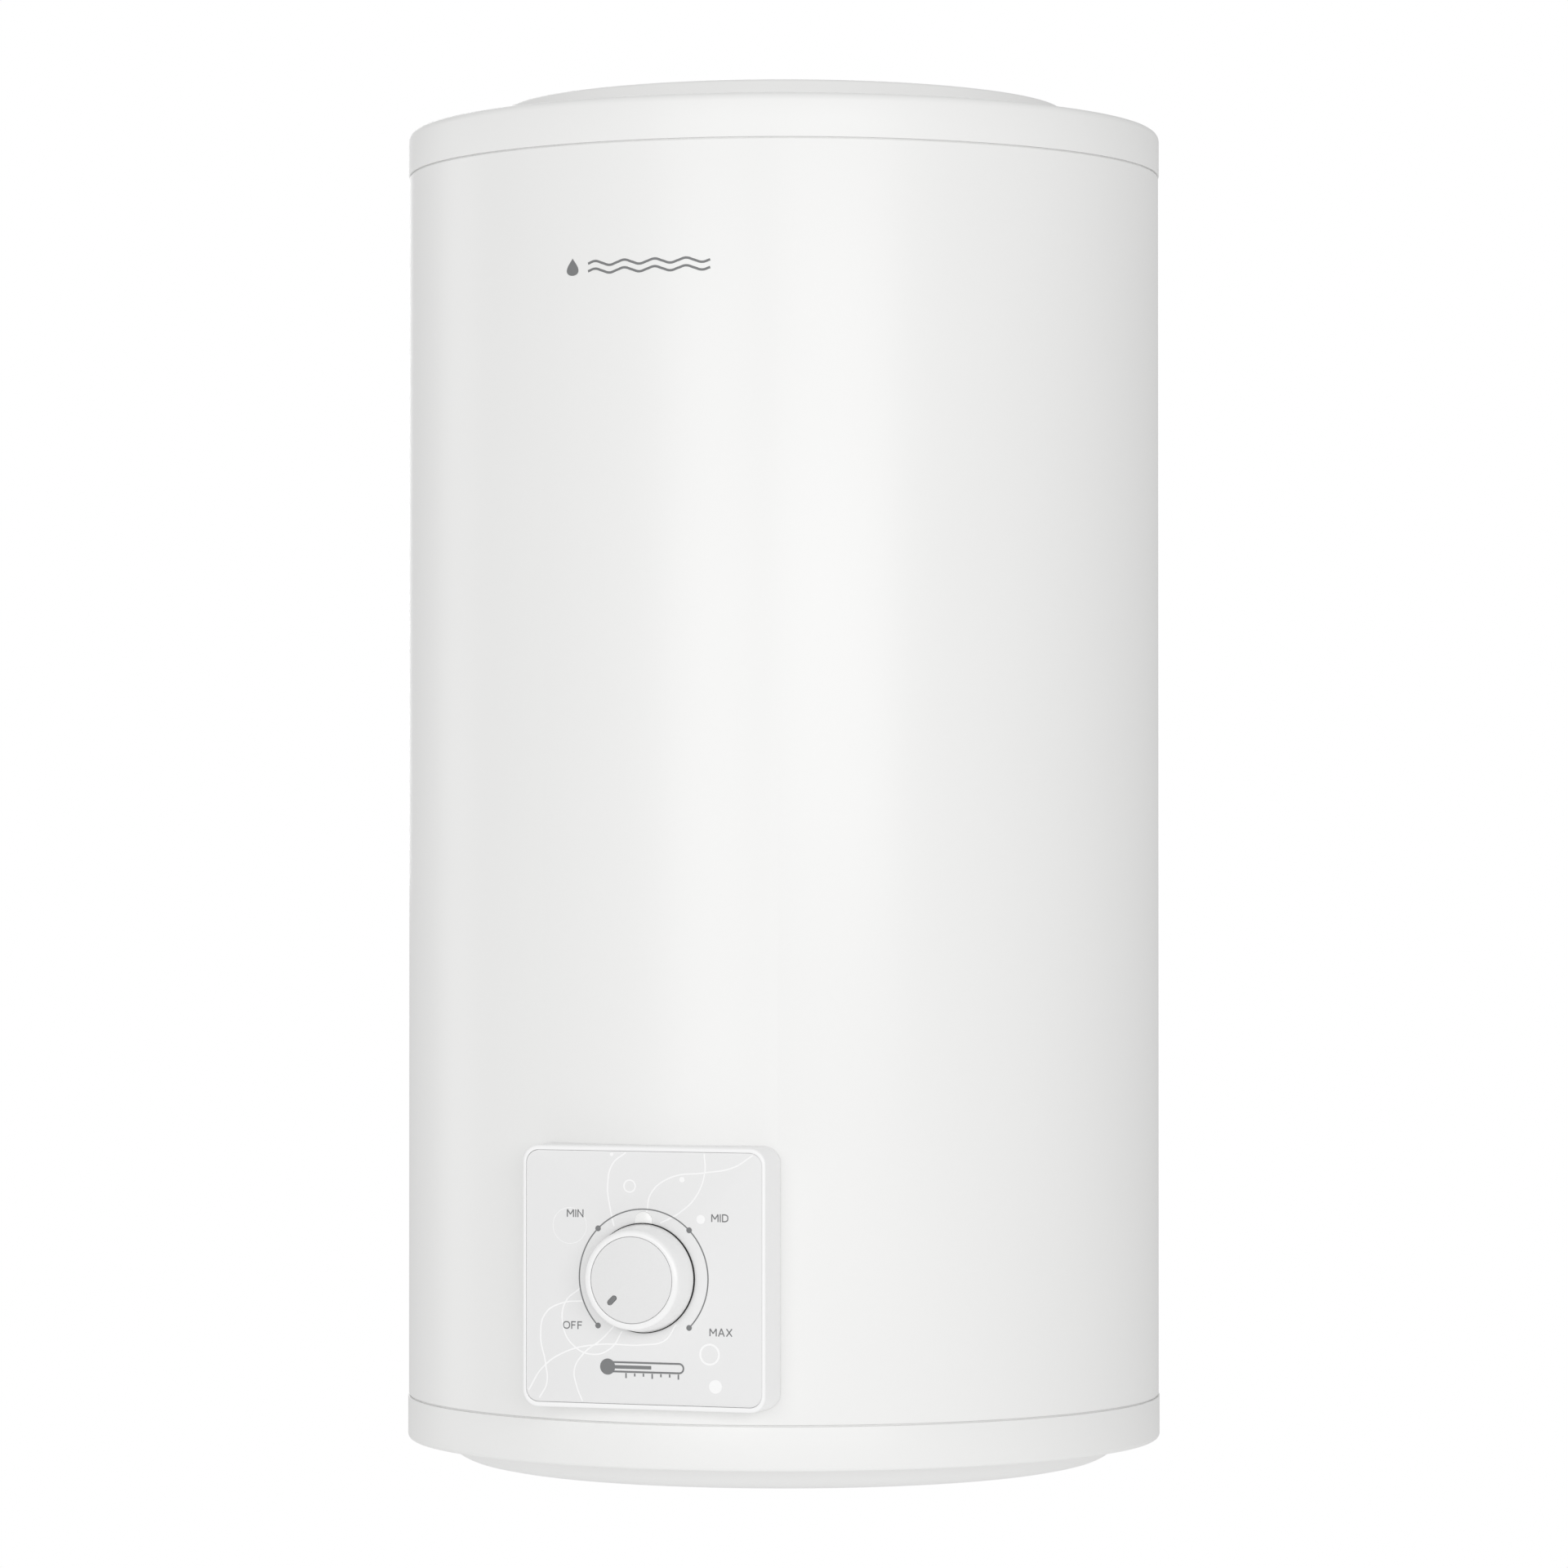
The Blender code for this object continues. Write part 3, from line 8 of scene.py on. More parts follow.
import bmesh
import bpy
from bpy.props import FloatProperty, FloatVectorProperty, IntProperty, PointerProperty
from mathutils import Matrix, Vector


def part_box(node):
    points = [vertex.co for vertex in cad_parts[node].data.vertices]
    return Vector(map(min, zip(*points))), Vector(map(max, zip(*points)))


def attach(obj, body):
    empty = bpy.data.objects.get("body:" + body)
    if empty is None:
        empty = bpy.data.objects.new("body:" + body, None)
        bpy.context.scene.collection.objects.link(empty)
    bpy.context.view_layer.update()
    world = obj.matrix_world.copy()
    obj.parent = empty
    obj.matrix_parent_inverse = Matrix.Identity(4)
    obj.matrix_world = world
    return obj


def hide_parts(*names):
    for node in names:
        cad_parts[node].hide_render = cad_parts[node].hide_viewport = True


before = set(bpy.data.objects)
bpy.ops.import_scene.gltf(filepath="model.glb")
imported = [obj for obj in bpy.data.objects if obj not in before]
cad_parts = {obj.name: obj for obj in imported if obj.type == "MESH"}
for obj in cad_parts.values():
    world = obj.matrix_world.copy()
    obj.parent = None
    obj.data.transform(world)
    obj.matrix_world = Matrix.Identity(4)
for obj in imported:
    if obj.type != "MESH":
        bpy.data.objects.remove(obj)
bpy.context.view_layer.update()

bl_info = {
    "name": "Tank Water Heater",
    "version": (1, 0, 0),
    "blender": (4, 5, 0),
    "location": "3D View > Sidebar > Heater",
    "description": "Fine pieces, finishes and a stage for a wall-hung tank water heater",
    "category": "Object",
}

TINY = 1e-6
GAP = 0.0003                 # between two pieces that touch
SNUG = 0.00005               # between two pieces pressed together
LAYER = 0.000002             # from one layer of printed ink to the next

# Ways that a piece's own Z axis can point
UP = (0, 0, 0)
DOWN = (math.pi, 0, 0)
FRONT = (math.pi / 2, 0, 0)
REAR = (-math.pi / 2, 0, 0)

# Sizes of the model that no corner of a box gives
SHEET = 0.0006               # jacket's steel
CAP_WALL = 0.0025            # caps' plastic
DISC_HEIGHT = 0.0120         # raised disc of each cap
BRACKET_SHEET = 0.0025       # hanger's steel
SCREW_HOLE = 0.0021          # radius round a small screw
SCREW_SIDES = 32             # sides of a small screw's hole
THROUGH = 0.05               # reach of a cutter that passes right through
FACE_CORNER = 0.0065         # face plate's corners

# Each cap's disc: radius of its flat middle, radius at its foot, and how far the middle of
# its slope stands out from a straight line
UPPER_DISC = (0.1440, 0.1510, 0)
LOWER_DISC = (0.1520, 0.1760, 0.0035)

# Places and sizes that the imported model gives
JACKET_LOW, JACKET_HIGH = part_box("jacket")
RADIUS = (JACKET_HIGH.x - JACKET_LOW.x) / 2
AXIS_Y = (JACKET_LOW.y + JACKET_HIGH.y) / 2
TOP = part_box("top_cap")[1].z
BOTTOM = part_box("bottom_cap")[0].z
CAP_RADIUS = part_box("top_cap")[1].x
FACE_LOW, FACE_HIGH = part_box("panel_face")
PANEL = Vector((0, FACE_LOW.y, (FACE_LOW.z + FACE_HIGH.z) / 2))
SURROUND_LOW, SURROUND_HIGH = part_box("panel_frame")
KNOB_LOW, KNOB_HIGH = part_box("knob")
BRACKET_LOW, BRACKET_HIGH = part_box("hanger_bracket")
BRACKET_Z = (BRACKET_LOW.z + BRACKET_HIGH.z) / 2


def middle_of(node):
    """The middle of a node's box."""
    low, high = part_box(node)
    return [(low[axis] + high[axis]) / 2 for axis in range(3)]


def span_of(node):
    """The size of a node's box."""
    low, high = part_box(node)
    return [high[axis] - low[axis] for axis in range(3)]


def srgb(code):
    """An sRGB hex colour as linear red, green and blue."""
    channels = [int(code[start:start + 2], 16) / 255 for start in (1, 3, 5)]
    return tuple(c / 12.92 if c <= 0.04045 else ((c + 0.055) / 1.055) ** 2.4
                 for c in channels)


# ---------------------------------------------------------------- what a user would change

class HeaterSizes(bpy.types.PropertyGroup):
    turn_steps: IntProperty(
        name="Turn steps", description="Sides of the jacket and the caps", default=192, min=48)
    round_steps: IntProperty(
        name="Rounding steps", description="Steps of each rounded edge", default=4, min=1)
    upper_corner: FloatProperty(
        name="Upper corner", description="Rounding of the upper cap's shoulder",
        default=0.0040, subtype="DISTANCE", unit="LENGTH")
    lower_corner: FloatProperty(
        name="Lower corner", description="Rounding of the lower cap's shoulder",
        default=0.0024, subtype="DISTANCE", unit="LENGTH")
    seam_edge: FloatProperty(
        name="Seam edge", description="Rounding on both sides of the jacket's seams",
        default=0.0003, subtype="DISTANCE", unit="LENGTH")
    lap_width: FloatProperty(
        name="Lap width", description="Width of the jacket's lapped joint at the back",
        default=0.014, subtype="DISTANCE", unit="LENGTH")
    surround_edge: FloatProperty(
        name="Surround edge", description="Rounding of the panel surround's front edge",
        default=0.0011, subtype="DISTANCE", unit="LENGTH")
    knob_edge: FloatProperty(
        name="Knob edge", description="Rounding of the knob's front edge", default=0.0016,
        subtype="DISTANCE", unit="LENGTH")
    ink_height: FloatProperty(
        name="Ink height", description="Thickness of printed marks", default=0.00006,
        subtype="DISTANCE", unit="LENGTH")
    letter_height: FloatProperty(
        name="Letter height", description="Height of the dial's capital letters",
        default=0.0032, subtype="DISTANCE", unit="LENGTH")
    mark_height: FloatProperty(
        name="Front mark", description="Height of the plain mark on the jacket",
        default=0.0085, subtype="DISTANCE", unit="LENGTH")
    thread_pitch: FloatProperty(
        name="Thread pitch", description="Pitch of the pipe threads", default=0.001814,
        subtype="DISTANCE", unit="LENGTH")


def colour_property(name, description, code):
    return FloatVectorProperty(name=name, description=description, default=srgb(code),
                               subtype="COLOR", min=0, max=1)


class HeaterColours(bpy.types.PropertyGroup):
    paint: colour_property("Jacket paint", "Powder coat of the jacket", "#F5F5F4")
    caps: colour_property("Caps", "Moulded caps and panel surround", "#F4F4F3")
    face: colour_property("Panel face", "Face plate of the control panel", "#EEEEEE")
    knob: colour_property("Knob", "Moulded knob", "#FAFAFA")
    inlay: colour_property("Knob inlay", "Disc set into the knob", "#EBEBEB")
    ink: colour_property("Dark ink", "Dial, words and marks", "#7E7F80")
    white_ink: colour_property("White ink", "Lines and rings on the face plate", "#FFFFFF")


# ---------------------------------------------------------------- modelling by hand, in code

def deselect():
    if bpy.context.mode != "OBJECT":
        bpy.ops.object.mode_set(mode="OBJECT")
    bpy.ops.object.select_all(action="DESELECT")


def pick(*pieces):
    """Select these pieces only. The last one is the active one."""
    deselect()
    for piece in pieces:
        piece.select_set(True)
    bpy.context.view_layer.objects.active = pieces[-1]


def named(name):
    """The piece that was just added, under its own name."""
    piece = bpy.context.object
    piece.name = piece.data.name = name
    return piece


def put(piece, place=(0, 0, 0), facing=UP, scale=(1, 1, 1)):
    """Move, turn and scale a piece, and keep that in its mesh."""
    piece.location, piece.rotation_euler, piece.scale = place, facing, scale
    pick(piece)
    bpy.ops.object.transform_apply(location=True, rotation=True, scale=True)
    return piece


def edit(piece):
    pick(piece)
    bpy.ops.object.mode_set(mode="EDIT")
    bpy.ops.mesh.select_mode(type="VERT")
    bpy.ops.mesh.select_all(action="DESELECT")


def mark(piece, kind, test):
    """In edit mode, select only the verts, edges or faces that pass a test."""
    bpy.ops.mesh.select_mode(type={"verts": "VERT", "edges": "EDGE", "faces": "FACE"}[kind])
    bpy.ops.mesh.select_all(action="DESELECT")
    shape = bmesh.from_edit_mesh(piece.data)
    for part in getattr(shape, kind):
        if test(part):
            part.select_set(True)
    shape.select_flush_mode()
    bmesh.update_edit_mesh(piece.data)


def at_height(height):
    """A test for an edge or a face that lies at one height."""
    return lambda part: all(abs(vert.co.z - height) < TINY for vert in part.verts)


def upright(edge):
    return abs(edge.verts[0].co.z - edge.verts[1].co.z) > TINY


def round_edges(piece, test, size, steps=None):
    """Round the edges that pass a test."""
    edit(piece)
    mark(piece, "edges", test)
    bpy.ops.mesh.bevel(offset=size, segments=steps or sizes().round_steps)
    deselect()


def turned(name, section, place=(0, 0, 0), facing=UP, steps=None):
    """Draw a section of (radius, height, rounding) corners and spin it round local Z."""
    deselect()
    bpy.ops.mesh.primitive_plane_add(size=0.01)
    piece = named(name)
    edit(piece)
    bpy.ops.mesh.select_all(action="SELECT")
    bpy.ops.mesh.merge(type="CENTER")
    bpy.ops.transform.translate(value=(section[0][0], 0, section[0][1]))
    for here, there in zip(section, section[1:]):
        step = (there[0] - here[0], 0, there[1] - here[1])
        bpy.ops.mesh.extrude_vertices_move(TRANSFORM_OT_translate={"value": step})
    if section[0][0] > TINY:
        ends = [Vector((corner[0], 0, corner[1])) for corner in (section[0], section[-1])]
        mark(piece, "verts", lambda vert: min((vert.co - end).length for end in ends) < TINY)
        bpy.ops.mesh.edge_face_add()
    for radius, height, rounding in section:
        if rounding:
            corner = Vector((radius, 0, height))
            mark(piece, "verts", lambda vert: (vert.co - corner).length < TINY)
            bpy.ops.mesh.bevel(offset=rounding, segments=sizes().round_steps,
                               affect="VERTICES")
    bpy.ops.mesh.select_all(action="SELECT")
    bpy.ops.mesh.spin(steps=steps or sizes().turn_steps, angle=math.tau, center=(0, 0, 0),
                      axis=(0, 0, 1))
    bpy.ops.mesh.select_all(action="SELECT")
    bpy.ops.mesh.remove_doubles(threshold=TINY)
    bpy.ops.mesh.normals_make_consistent(inside=False)
    return put(piece, place, facing)


def plate(name, width, height, low, high, corner, place=(0, 0, 0), facing=UP, edge=0.0,
          steps=10):
    """A box with round upright corners, low to high, and a rounded upper rim."""
    deselect()
    bpy.ops.mesh.primitive_cube_add(size=1)
    piece = put(named(name), (0, 0, (low + high) / 2), UP, (width, height, high - low))
    round_edges(piece, upright, corner, steps)
    if edge:
        round_edges(piece, at_height(high), edge)
    return put(piece, place, facing)


def bar(name, radius, low, high, place=(0, 0, 0), facing=UP, sides=64):
    deselect()
    bpy.ops.mesh.primitive_cylinder_add(vertices=sides, radius=radius, depth=high - low)
    piece = put(named(name), (0, 0, (low + high) / 2))
    return put(piece, place, facing)


def change(piece, kind, **settings):
    """Add a modifier to a piece and apply it."""
    pick(piece)
    bpy.ops.object.modifier_add(type=kind)
    modifier = piece.modifiers[-1]
    for setting, value in settings.items():
        setattr(modifier, setting, value)
    bpy.ops.object.modifier_apply(modifier=modifier.name)
    return piece


def cut(piece, *tools, operation="DIFFERENCE"):
    for tool in tools:
        change(piece, "BOOLEAN", operation=operation, solver="EXACT", object=tool)
        bpy.data.objects.remove(tool)
    return piece


def joined(name, pieces):
    pick(*pieces)
    bpy.ops.object.join()
    return named(name)


def hand_over(piece, body, slot, material, *nodes, angle=30):
    """Smooth a finished piece, paint it, and say what it rides on and stands for."""
    pick(piece)
    bpy.ops.object.shade_smooth_by_angle(angle=math.radians(angle))
    piece.data.materials.clear()
    piece.data.materials.append(material)
    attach(piece, body)
    if nodes:
        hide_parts(*nodes)
    deselect()
    return piece


def sizes():
    return bpy.context.scene.heater_sizes


def colours():
    return bpy.context.scene.heater_colours


# ---------------------------------------------------------------- finishes

def add_node(tree, kind, sockets=None, **settings):
    """Add a node. A socket takes a plain value or another node's output."""
    node = tree.nodes.new(kind)
    for setting, value in settings.items():
        setattr(node, setting, value)
    for socket, value in (sockets or {}).items():
        if isinstance(value, bpy.types.NodeSocket):
            tree.links.new(value, node.inputs[socket])
        else:
            node.inputs[socket].default_value = value
    return node


def finish(name, colour, patch, shade, grain, relief, rough, cells=False, stretch=(1, 1, 1),
           **sockets):
    """A finish made once and kept: a colour that drifts to a shade of itself over patches,
    a relief of small grains, and a gloss that varies between two roughness values.
    Patch, grain and relief are real sizes in metres. Cells are patches with hard borders."""
    if name in bpy.data.materials:
        return bpy.data.materials[name]
    material = bpy.data.materials.new(name)
    material.use_nodes = True
    tree = material.node_tree
    shader = tree.nodes["Principled BSDF"]
    place = add_node(tree, "ShaderNodeTexCoord").outputs["Object"]
    stretched = add_node(tree, "ShaderNodeMapping", {"Vector": place, "Scale": stretch})
    vector = stretched.outputs["Vector"]
    if cells:
        patches = add_node(tree, "ShaderNodeTexVoronoi", {"Vector": vector,
                                                          "Scale": 1 / patch})
        spread = add_node(tree, "ShaderNodeSeparateColor",
                          {"Color": patches.outputs["Color"]}).outputs["Red"]
    else:
        patches = add_node(tree, "ShaderNodeTexNoise", {"Vector": vector,
                                                        "Scale": 1 / patch, "Detail": 3.0})
        spread = patches.outputs["Fac"]
    tint = add_node(tree, "ShaderNodeMix", {"Factor": spread}, data_type="RGBA")
    tint.inputs["A"].default_value = (*colour, 1)
    tint.inputs["B"].default_value = (*[channel * shade for channel in colour], 1)
    grains = add_node(tree, "ShaderNodeTexNoise", {"Vector": vector, "Scale": 1 / grain,
                                                   "Detail": 2.0})
    gloss = add_node(tree, "ShaderNodeMapRange", {"Value": spread, "To Min": rough[0],
                                                  "To Max": rough[1]})
    bump = add_node(tree, "ShaderNodeBump", {"Height": grains.outputs["Fac"],
                                             "Strength": 1.0, "Distance": relief})
    tree.links.new(tint.outputs["Result"], shader.inputs["Base Color"])
    tree.links.new(gloss.outputs["Result"], shader.inputs["Roughness"])
    tree.links.new(bump.outputs["Normal"], shader.inputs["Normal"])
    for socket, value in sockets.items():
        shader.inputs[socket.replace("_", " ")].default_value = value
    return material


def powder_coat():
    """Polyester powder baked on sheet steel: an even white with a faint orange peel."""
    return finish("powder_coated_steel", colours().paint, 0.090, 0.985, 0.0014, 0.000004,
                  (0.34, 0.38), Coat_Weight=0.15, Coat_Roughness=0.22)


def moulded_abs():
    """Injection-moulded ABS from a fine spark-eroded mould: satin, with soft reflections."""
    return finish("moulded_abs", colours().caps, 0.060, 0.985, 0.0007, 0.000005,
                  (0.38, 0.44), IOR=1.52)


def painted_light_abs():
    """Injection-moulded ABS from a lapped mould, a low gloss, painted lighter than the caps'
    ABS: painted light on the panel surround's walls.
    """
    return finish("white_gloss_abs", srgb("#FBFBFB"), 0.040, 0.99, 0.0009, 0.000002,
                  (0.30, 0.36), IOR=1.52)


def printed_face():
    """Satin polycarbonate sheet, tinted through: pale grey and very even."""
    return finish("satin_polycarbonate", colours().face, 0.050, 0.99, 0.0006, 0.000003,
                  (0.42, 0.48), IOR=1.58)


def knob_abs():
    """Polished ABS: a bright white whose highlights are the sharpest on the front."""
    return finish("polished_abs", colours().knob, 0.020, 0.992, 0.0009, 0.000002,
                  (0.24, 0.28), IOR=1.52, Coat_Weight=0.2, Coat_Roughness=0.12)


def knob_inlay():
    """Pale grey lacquer on a moulded disc: satin, with fine specks of flake, drawn at half a
    millimetre because real flake is too fine to show."""
    return finish("satin_lacquer", colours().inlay, 0.0005, 0.985, 0.0004, 0.000003,
                  (0.40, 0.50), cells=True)


def screen_ink(name, colour):
    """Screen-printed ink: matt, slightly uneven where the mesh let it through."""
    return finish(name, colour, 0.0030, 0.97, 0.0005, 0.000004, (0.50, 0.60))


def grey_ink():
    return screen_ink("grey_screen_ink", colours().ink)


def white_ink():
    return screen_ink("white_screen_ink", colours().white_ink)


def opal_acrylic():
    """Opal acrylic: a lens that passes the lamp's light softly."""
    return finish("opal_acrylic", srgb("#FBFBFA"), 0.010, 0.99, 0.0010, 0.000001,
                  (0.10, 0.14), IOR=1.49, Coat_Weight=0.3, Coat_Roughness=0.05)


def zinc_plate():
    """Zinc-plated pressed steel: a grey metal with a faint crystal spangle."""
    return finish("zinc_plated_steel", srgb("#C3C7CA"), 0.0035, 0.86, 0.0008, 0.000006,
                  (0.30, 0.42), cells=True, Metallic=1.0)


def painted_shade_finish():
    """Painted shade: a black, very dull finish with a short nap that swallows the light, for the
    ring under the knob that stands for the shade in its gap.
    """
    return finish("black_felt", srgb("#151515"), 0.0015, 0.75, 0.0004, 0.00003, (0.92, 0.98),
                  Sheen_Weight=0.2)


def polyamide():
    """Black polyamide: the dull, slightly grainy surface of a cable gland."""
    return finish("black_polyamide", srgb("#242526"), 0.006, 0.85, 0.0005, 0.000010,
                  (0.48, 0.58))


def polypropylene(name, code):
    """Dyed polypropylene: a waxy sheen on small moulded rings and sleeves."""
    return finish(name, srgb(code), 0.008, 0.93, 0.0006, 0.000006, (0.36, 0.44), IOR=1.49)


def plain_finishes():
    """Finishes of the pieces inside, by the slot that the record gives them."""
    return {
        # polyurethane foamed in place: pale yellow, with open cells
        "foam": finish("polyurethane_foam", srgb("#E9DFAE"), 0.0040, 0.90, 0.0015, 0.0003,
                       (0.90, 0.98), cells=True),
        # glass enamel fired on steel: dark blue, glossy, with pale specks
        "enamelled_steel": finish("vitreous_enamel", srgb("#2C4763"), 0.0012, 0.80, 0.0030,
                                  0.00002, (0.16, 0.24), cells=True, Coat_Weight=0.5,
                                  Coat_Roughness=0.08),
        # moulded EPDM: nearly black and dull
        "rubber": finish("epdm_rubber", srgb("#2B2B2B"), 0.005, 0.85, 0.0006, 0.00002,
                         (0.75, 0.85)),
        # drawn copper sheath, darkened in patches by brazing
        "copper": finish("drawn_copper", srgb("#C1764A"), 0.012, 0.70, 0.0006, 0.000008,
                         (0.26, 0.44), stretch=(1, 1, 0.2), Metallic=1.0),
        # cast magnesium rod: light grey and rough
        "magnesium": finish("cast_magnesium", srgb("#A4A8AB"), 0.003, 0.82, 0.0009, 0.00006,
                            (0.55, 0.70), cells=True, Metallic=0.9),
        # machined brass, drawn along its length
        "brass": finish("machined_brass", srgb("#C4A255"), 0.004, 0.88, 0.0005, 0.000005,
                        (0.24, 0.34), stretch=(1, 1, 0.15), Metallic=1.0),
        # tinted glass tube of the neon lamp
        "lamp_glass": finish("amber_glass", srgb("#E98A2B"), 0.004, 0.95, 0.002, 0.000001,
                             (0.06, 0.10), IOR=1.5, Transmission_Weight=0.5),
        "white_plastic": moulded_abs(),
        "zinc_steel": zinc_plate(),
        "black_plastic": polyamide(),
        "blue_plastic": polypropylene("blue_polypropylene", "#1F5FB4"),
        "red_plastic": polypropylene("red_polypropylene", "#C3262A"),
    }


# ---------------------------------------------------------------- sections and small shapes

# Width of each letter and its strokes, in heights of a capital
LETTERS = {
    "A": (0.92, [(0, -0.09), (0.46, 1.09)], [(0.92, -0.09), (0.46, 1.09)],
          [(0.14, 0.30), (0.78, 0.30)]),
    "D": (0.84, [(0, -0.09), (0, 1.09)],
          [(0, 1), (0.42, 1), (0.76, 0.84), (0.84, 0.5), (0.76, 0.16), (0.42, 0), (0, 0)]),
    "F": (0.66, [(0, -0.09), (0, 1.09)], [(0, 1), (0.66, 1)], [(0, 0.52), (0.58, 0.52)]),
    "I": (0.0, [(0, -0.09), (0, 1.09)]),
    "M": (1.00, [(0, -0.09), (0, 1.0)], [(1, -0.09), (1, 1.0)], [(0, 1.06), (0.5, 0.32)],
          [(1, 1.06), (0.5, 0.32)]),
    "N": (0.82, [(0, -0.09), (0, 1.09)], [(0.82, -0.09), (0.82, 1.09)],
          [(0, 1.06), (0.82, -0.06)]),
    "O": (0.96, [(0.48, 1), (0.16, 0.92), (0, 0.66), (0, 0.34), (0.16, 0.08), (0.48, 0),
                 (0.80, 0.08), (0.96, 0.34), (0.96, 0.66), (0.80, 0.92), (0.48, 1)]),
    "X": (0.86, [(0, -0.06), (0.86, 1.06)], [(0, 1.06), (0.86, -0.06)]),
}


def cap_section(disc, corner):
    """A cap's section, from the middle of its raised disc out, round and back inside.
    Its lip stands inside the jacket, and its skirt ends at a fine seam."""
    disc_radius, base_radius, bulge = disc
    skirt_end = TOP - JACKET_HIGH.z - 0.0008
    lip = RADIUS - SHEET - GAP
    lip_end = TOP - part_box("top_cap")[0].z
    inside = DISC_HEIGHT + CAP_WALL
    slope = [((disc_radius + base_radius) / 2, DISC_HEIGHT / 2 - bulge, 0.0050)] if bulge else []
    return [(0, 0, 0), (disc_radius, 0, 0.0018), *slope, (base_radius, DISC_HEIGHT, 0.0012),
            (CAP_RADIUS, DISC_HEIGHT, corner), (CAP_RADIUS, skirt_end, sizes().seam_edge),
            (lip, skirt_end, 0), (lip, lip_end, 0.0004), (lip - CAP_WALL, lip_end, 0.0004),
            (lip - CAP_WALL, inside, 0.001), (base_radius - 0.002, inside, 0),
            (disc_radius - 0.002, CAP_WALL, 0), (0, CAP_WALL, 0)]


def pan_screw(name, place, facing, head=0.0036, tall=0.0022, shank=0.0018, length=0.0070):
    """A pan-head screw with a cross recess, its head's underside at local zero."""
    piece = turned(name, [(0, -length, 0), (shank, -length, 0.0004), (shank, 0, 0),
                          (head, 0, 0.0002), (head, tall * 0.5, 0.0008),
                          (head * 0.6, tall, 0.0006), (0, tall, 0)], steps=48)
    for turn in (0, math.pi / 2):
        slot = plate("cross", head * 1.05, 0.0007, tall - 0.0010, tall + 0.001, 0.0001,
                     facing=(0, 0, turn), steps=1)
        cut(piece, slot)
    return put(piece, place, facing)


def ink_strip(name, radius, width, start, sweep, steps):
    """A printed strip along a circle, from one angle through a sweep, in degrees."""
    deselect()
    bpy.ops.mesh.primitive_plane_add(size=width)
    piece = named(name)
    edit(piece)
    mark(piece, "verts", lambda vert: vert.co.y > 0)
    bpy.ops.mesh.delete(type="VERT")
    bpy.ops.mesh.select_all(action="SELECT")
    bpy.ops.transform.translate(value=(radius, width / 2, 0))
    put(piece, facing=(0, 0, math.radians(start)))
    edit(piece)
    bpy.ops.mesh.select_all(action="SELECT")
    bpy.ops.mesh.spin(steps=steps, angle=math.radians(sweep), center=(0, 0, 0),
                      axis=(0, 0, 1))
    bpy.ops.mesh.select_all(action="SELECT")
    bpy.ops.mesh.remove_doubles(threshold=TINY)
    deselect()
    return inked(piece)


def inked(piece):
    """Give a flat shape the thickness of printed ink, towards local +Z."""
    edit(piece)
    bpy.ops.mesh.select_all(action="SELECT")
    bpy.ops.mesh.normals_make_consistent(inside=False)
    shape = bmesh.from_edit_mesh(piece.data)
    if sum(face.normal.z for face in shape.faces) < 0:
        bpy.ops.mesh.flip_normals()
    deselect()
    return change(piece, "SOLIDIFY", thickness=sizes().ink_height, offset=1.0)


def ink_dot(name, radius, place):
    deselect()
    bpy.ops.mesh.primitive_circle_add(vertices=40, radius=radius, fill_type="NGON")
    return put(inked(named(name)), place)


def ink_line(name, points, width, steps=14):
    """A printed line along a smooth curve through flat points, in metres."""
    deselect()
    bpy.ops.curve.primitive_bezier_curve_add()
    piece = named(name)
    spline = piece.data.splines[0]
    spline.bezier_points.add(len(points) - 2)
    for spot, (x, y) in zip(spline.bezier_points, points):
        spot.co = (x, y, 0)
        spot.handle_left_type = spot.handle_right_type = "AUTO"
    spline.resolution_u = steps
    piece.data.bevel_depth = width / 2
    piece.data.bevel_resolution = 1
    piece.data.use_fill_caps = True
    pick(piece)
    bpy.ops.object.convert(target="MESH")
    edit(piece)
    bpy.ops.mesh.select_all(action="SELECT")
    bpy.ops.mesh.remove_doubles(threshold=TINY)
    return put(piece, scale=(1, 1, 2 * sizes().ink_height / width))


def ink_word(word, height, x, y):
    """A generic word, centred on a place, drawn with the even strokes of a stencil pen."""
    pen, space = height * 0.18, height * 0.36
    strokes, cursor = [], 0
    for letter in word:
        width = LETTERS[letter][0] * height
        for index, stroke in enumerate(LETTERS[letter][1:]):
            points = [(cursor + across * height, up * height) for across, up in stroke]
            strokes.append((f"{letter}_{index}", points))
        cursor += width + space
    half = (cursor - space) / 2
    return [ink_line(name, [(x + along - half, y + up - height / 2) for along, up in points],
                     pen, 4 if len(points) > 2 else 1) for name, points in strokes]


def ink_drop(name, height, place):
    """A plain drop, drawn from a circle whose upper half is drawn to a point."""
    deselect()
    bpy.ops.mesh.primitive_circle_add(vertices=64, radius=1, fill_type="NGON")
    piece = named(name)
    for vert in piece.data.vertices:
        turn = math.atan2(vert.co.x, -vert.co.y)
        waist = math.cos(turn / 2) ** 1.5 if abs(turn) < math.pi else 0
        vert.co.x = 1.15 * math.sin(turn) * waist
    piece = put(piece, scale=(height / 2, height / 2, 1))
    return put(inked(piece), place)


def wave(width, height, turns, steps_per_turn=4):
    """Points of a level wave, centred, for a line of heat or water."""
    count = int(turns * steps_per_turn)
    return [(width * (step / count - 0.5),
             height / 2 * math.sin(math.tau * turns * step / count))
            for step in range(count + 1)]


def wrap(piece, lift=0.0):
    """Bend a flat piece, drawn on local XY, round the front of the jacket."""
    for vert in piece.data.vertices:
        out = RADIUS + lift + vert.co.z
        turn = vert.co.x / RADIUS
        height = vert.co.y
        vert.co = (out * math.sin(turn), AXIS_Y - out * math.cos(turn), height)
    return piece


# ---------------------------------------------------------------- operators

class PieceOperator(bpy.types.Operator):
    """What the operators below have in common."""
    bl_options = {"REGISTER", "UNDO"}


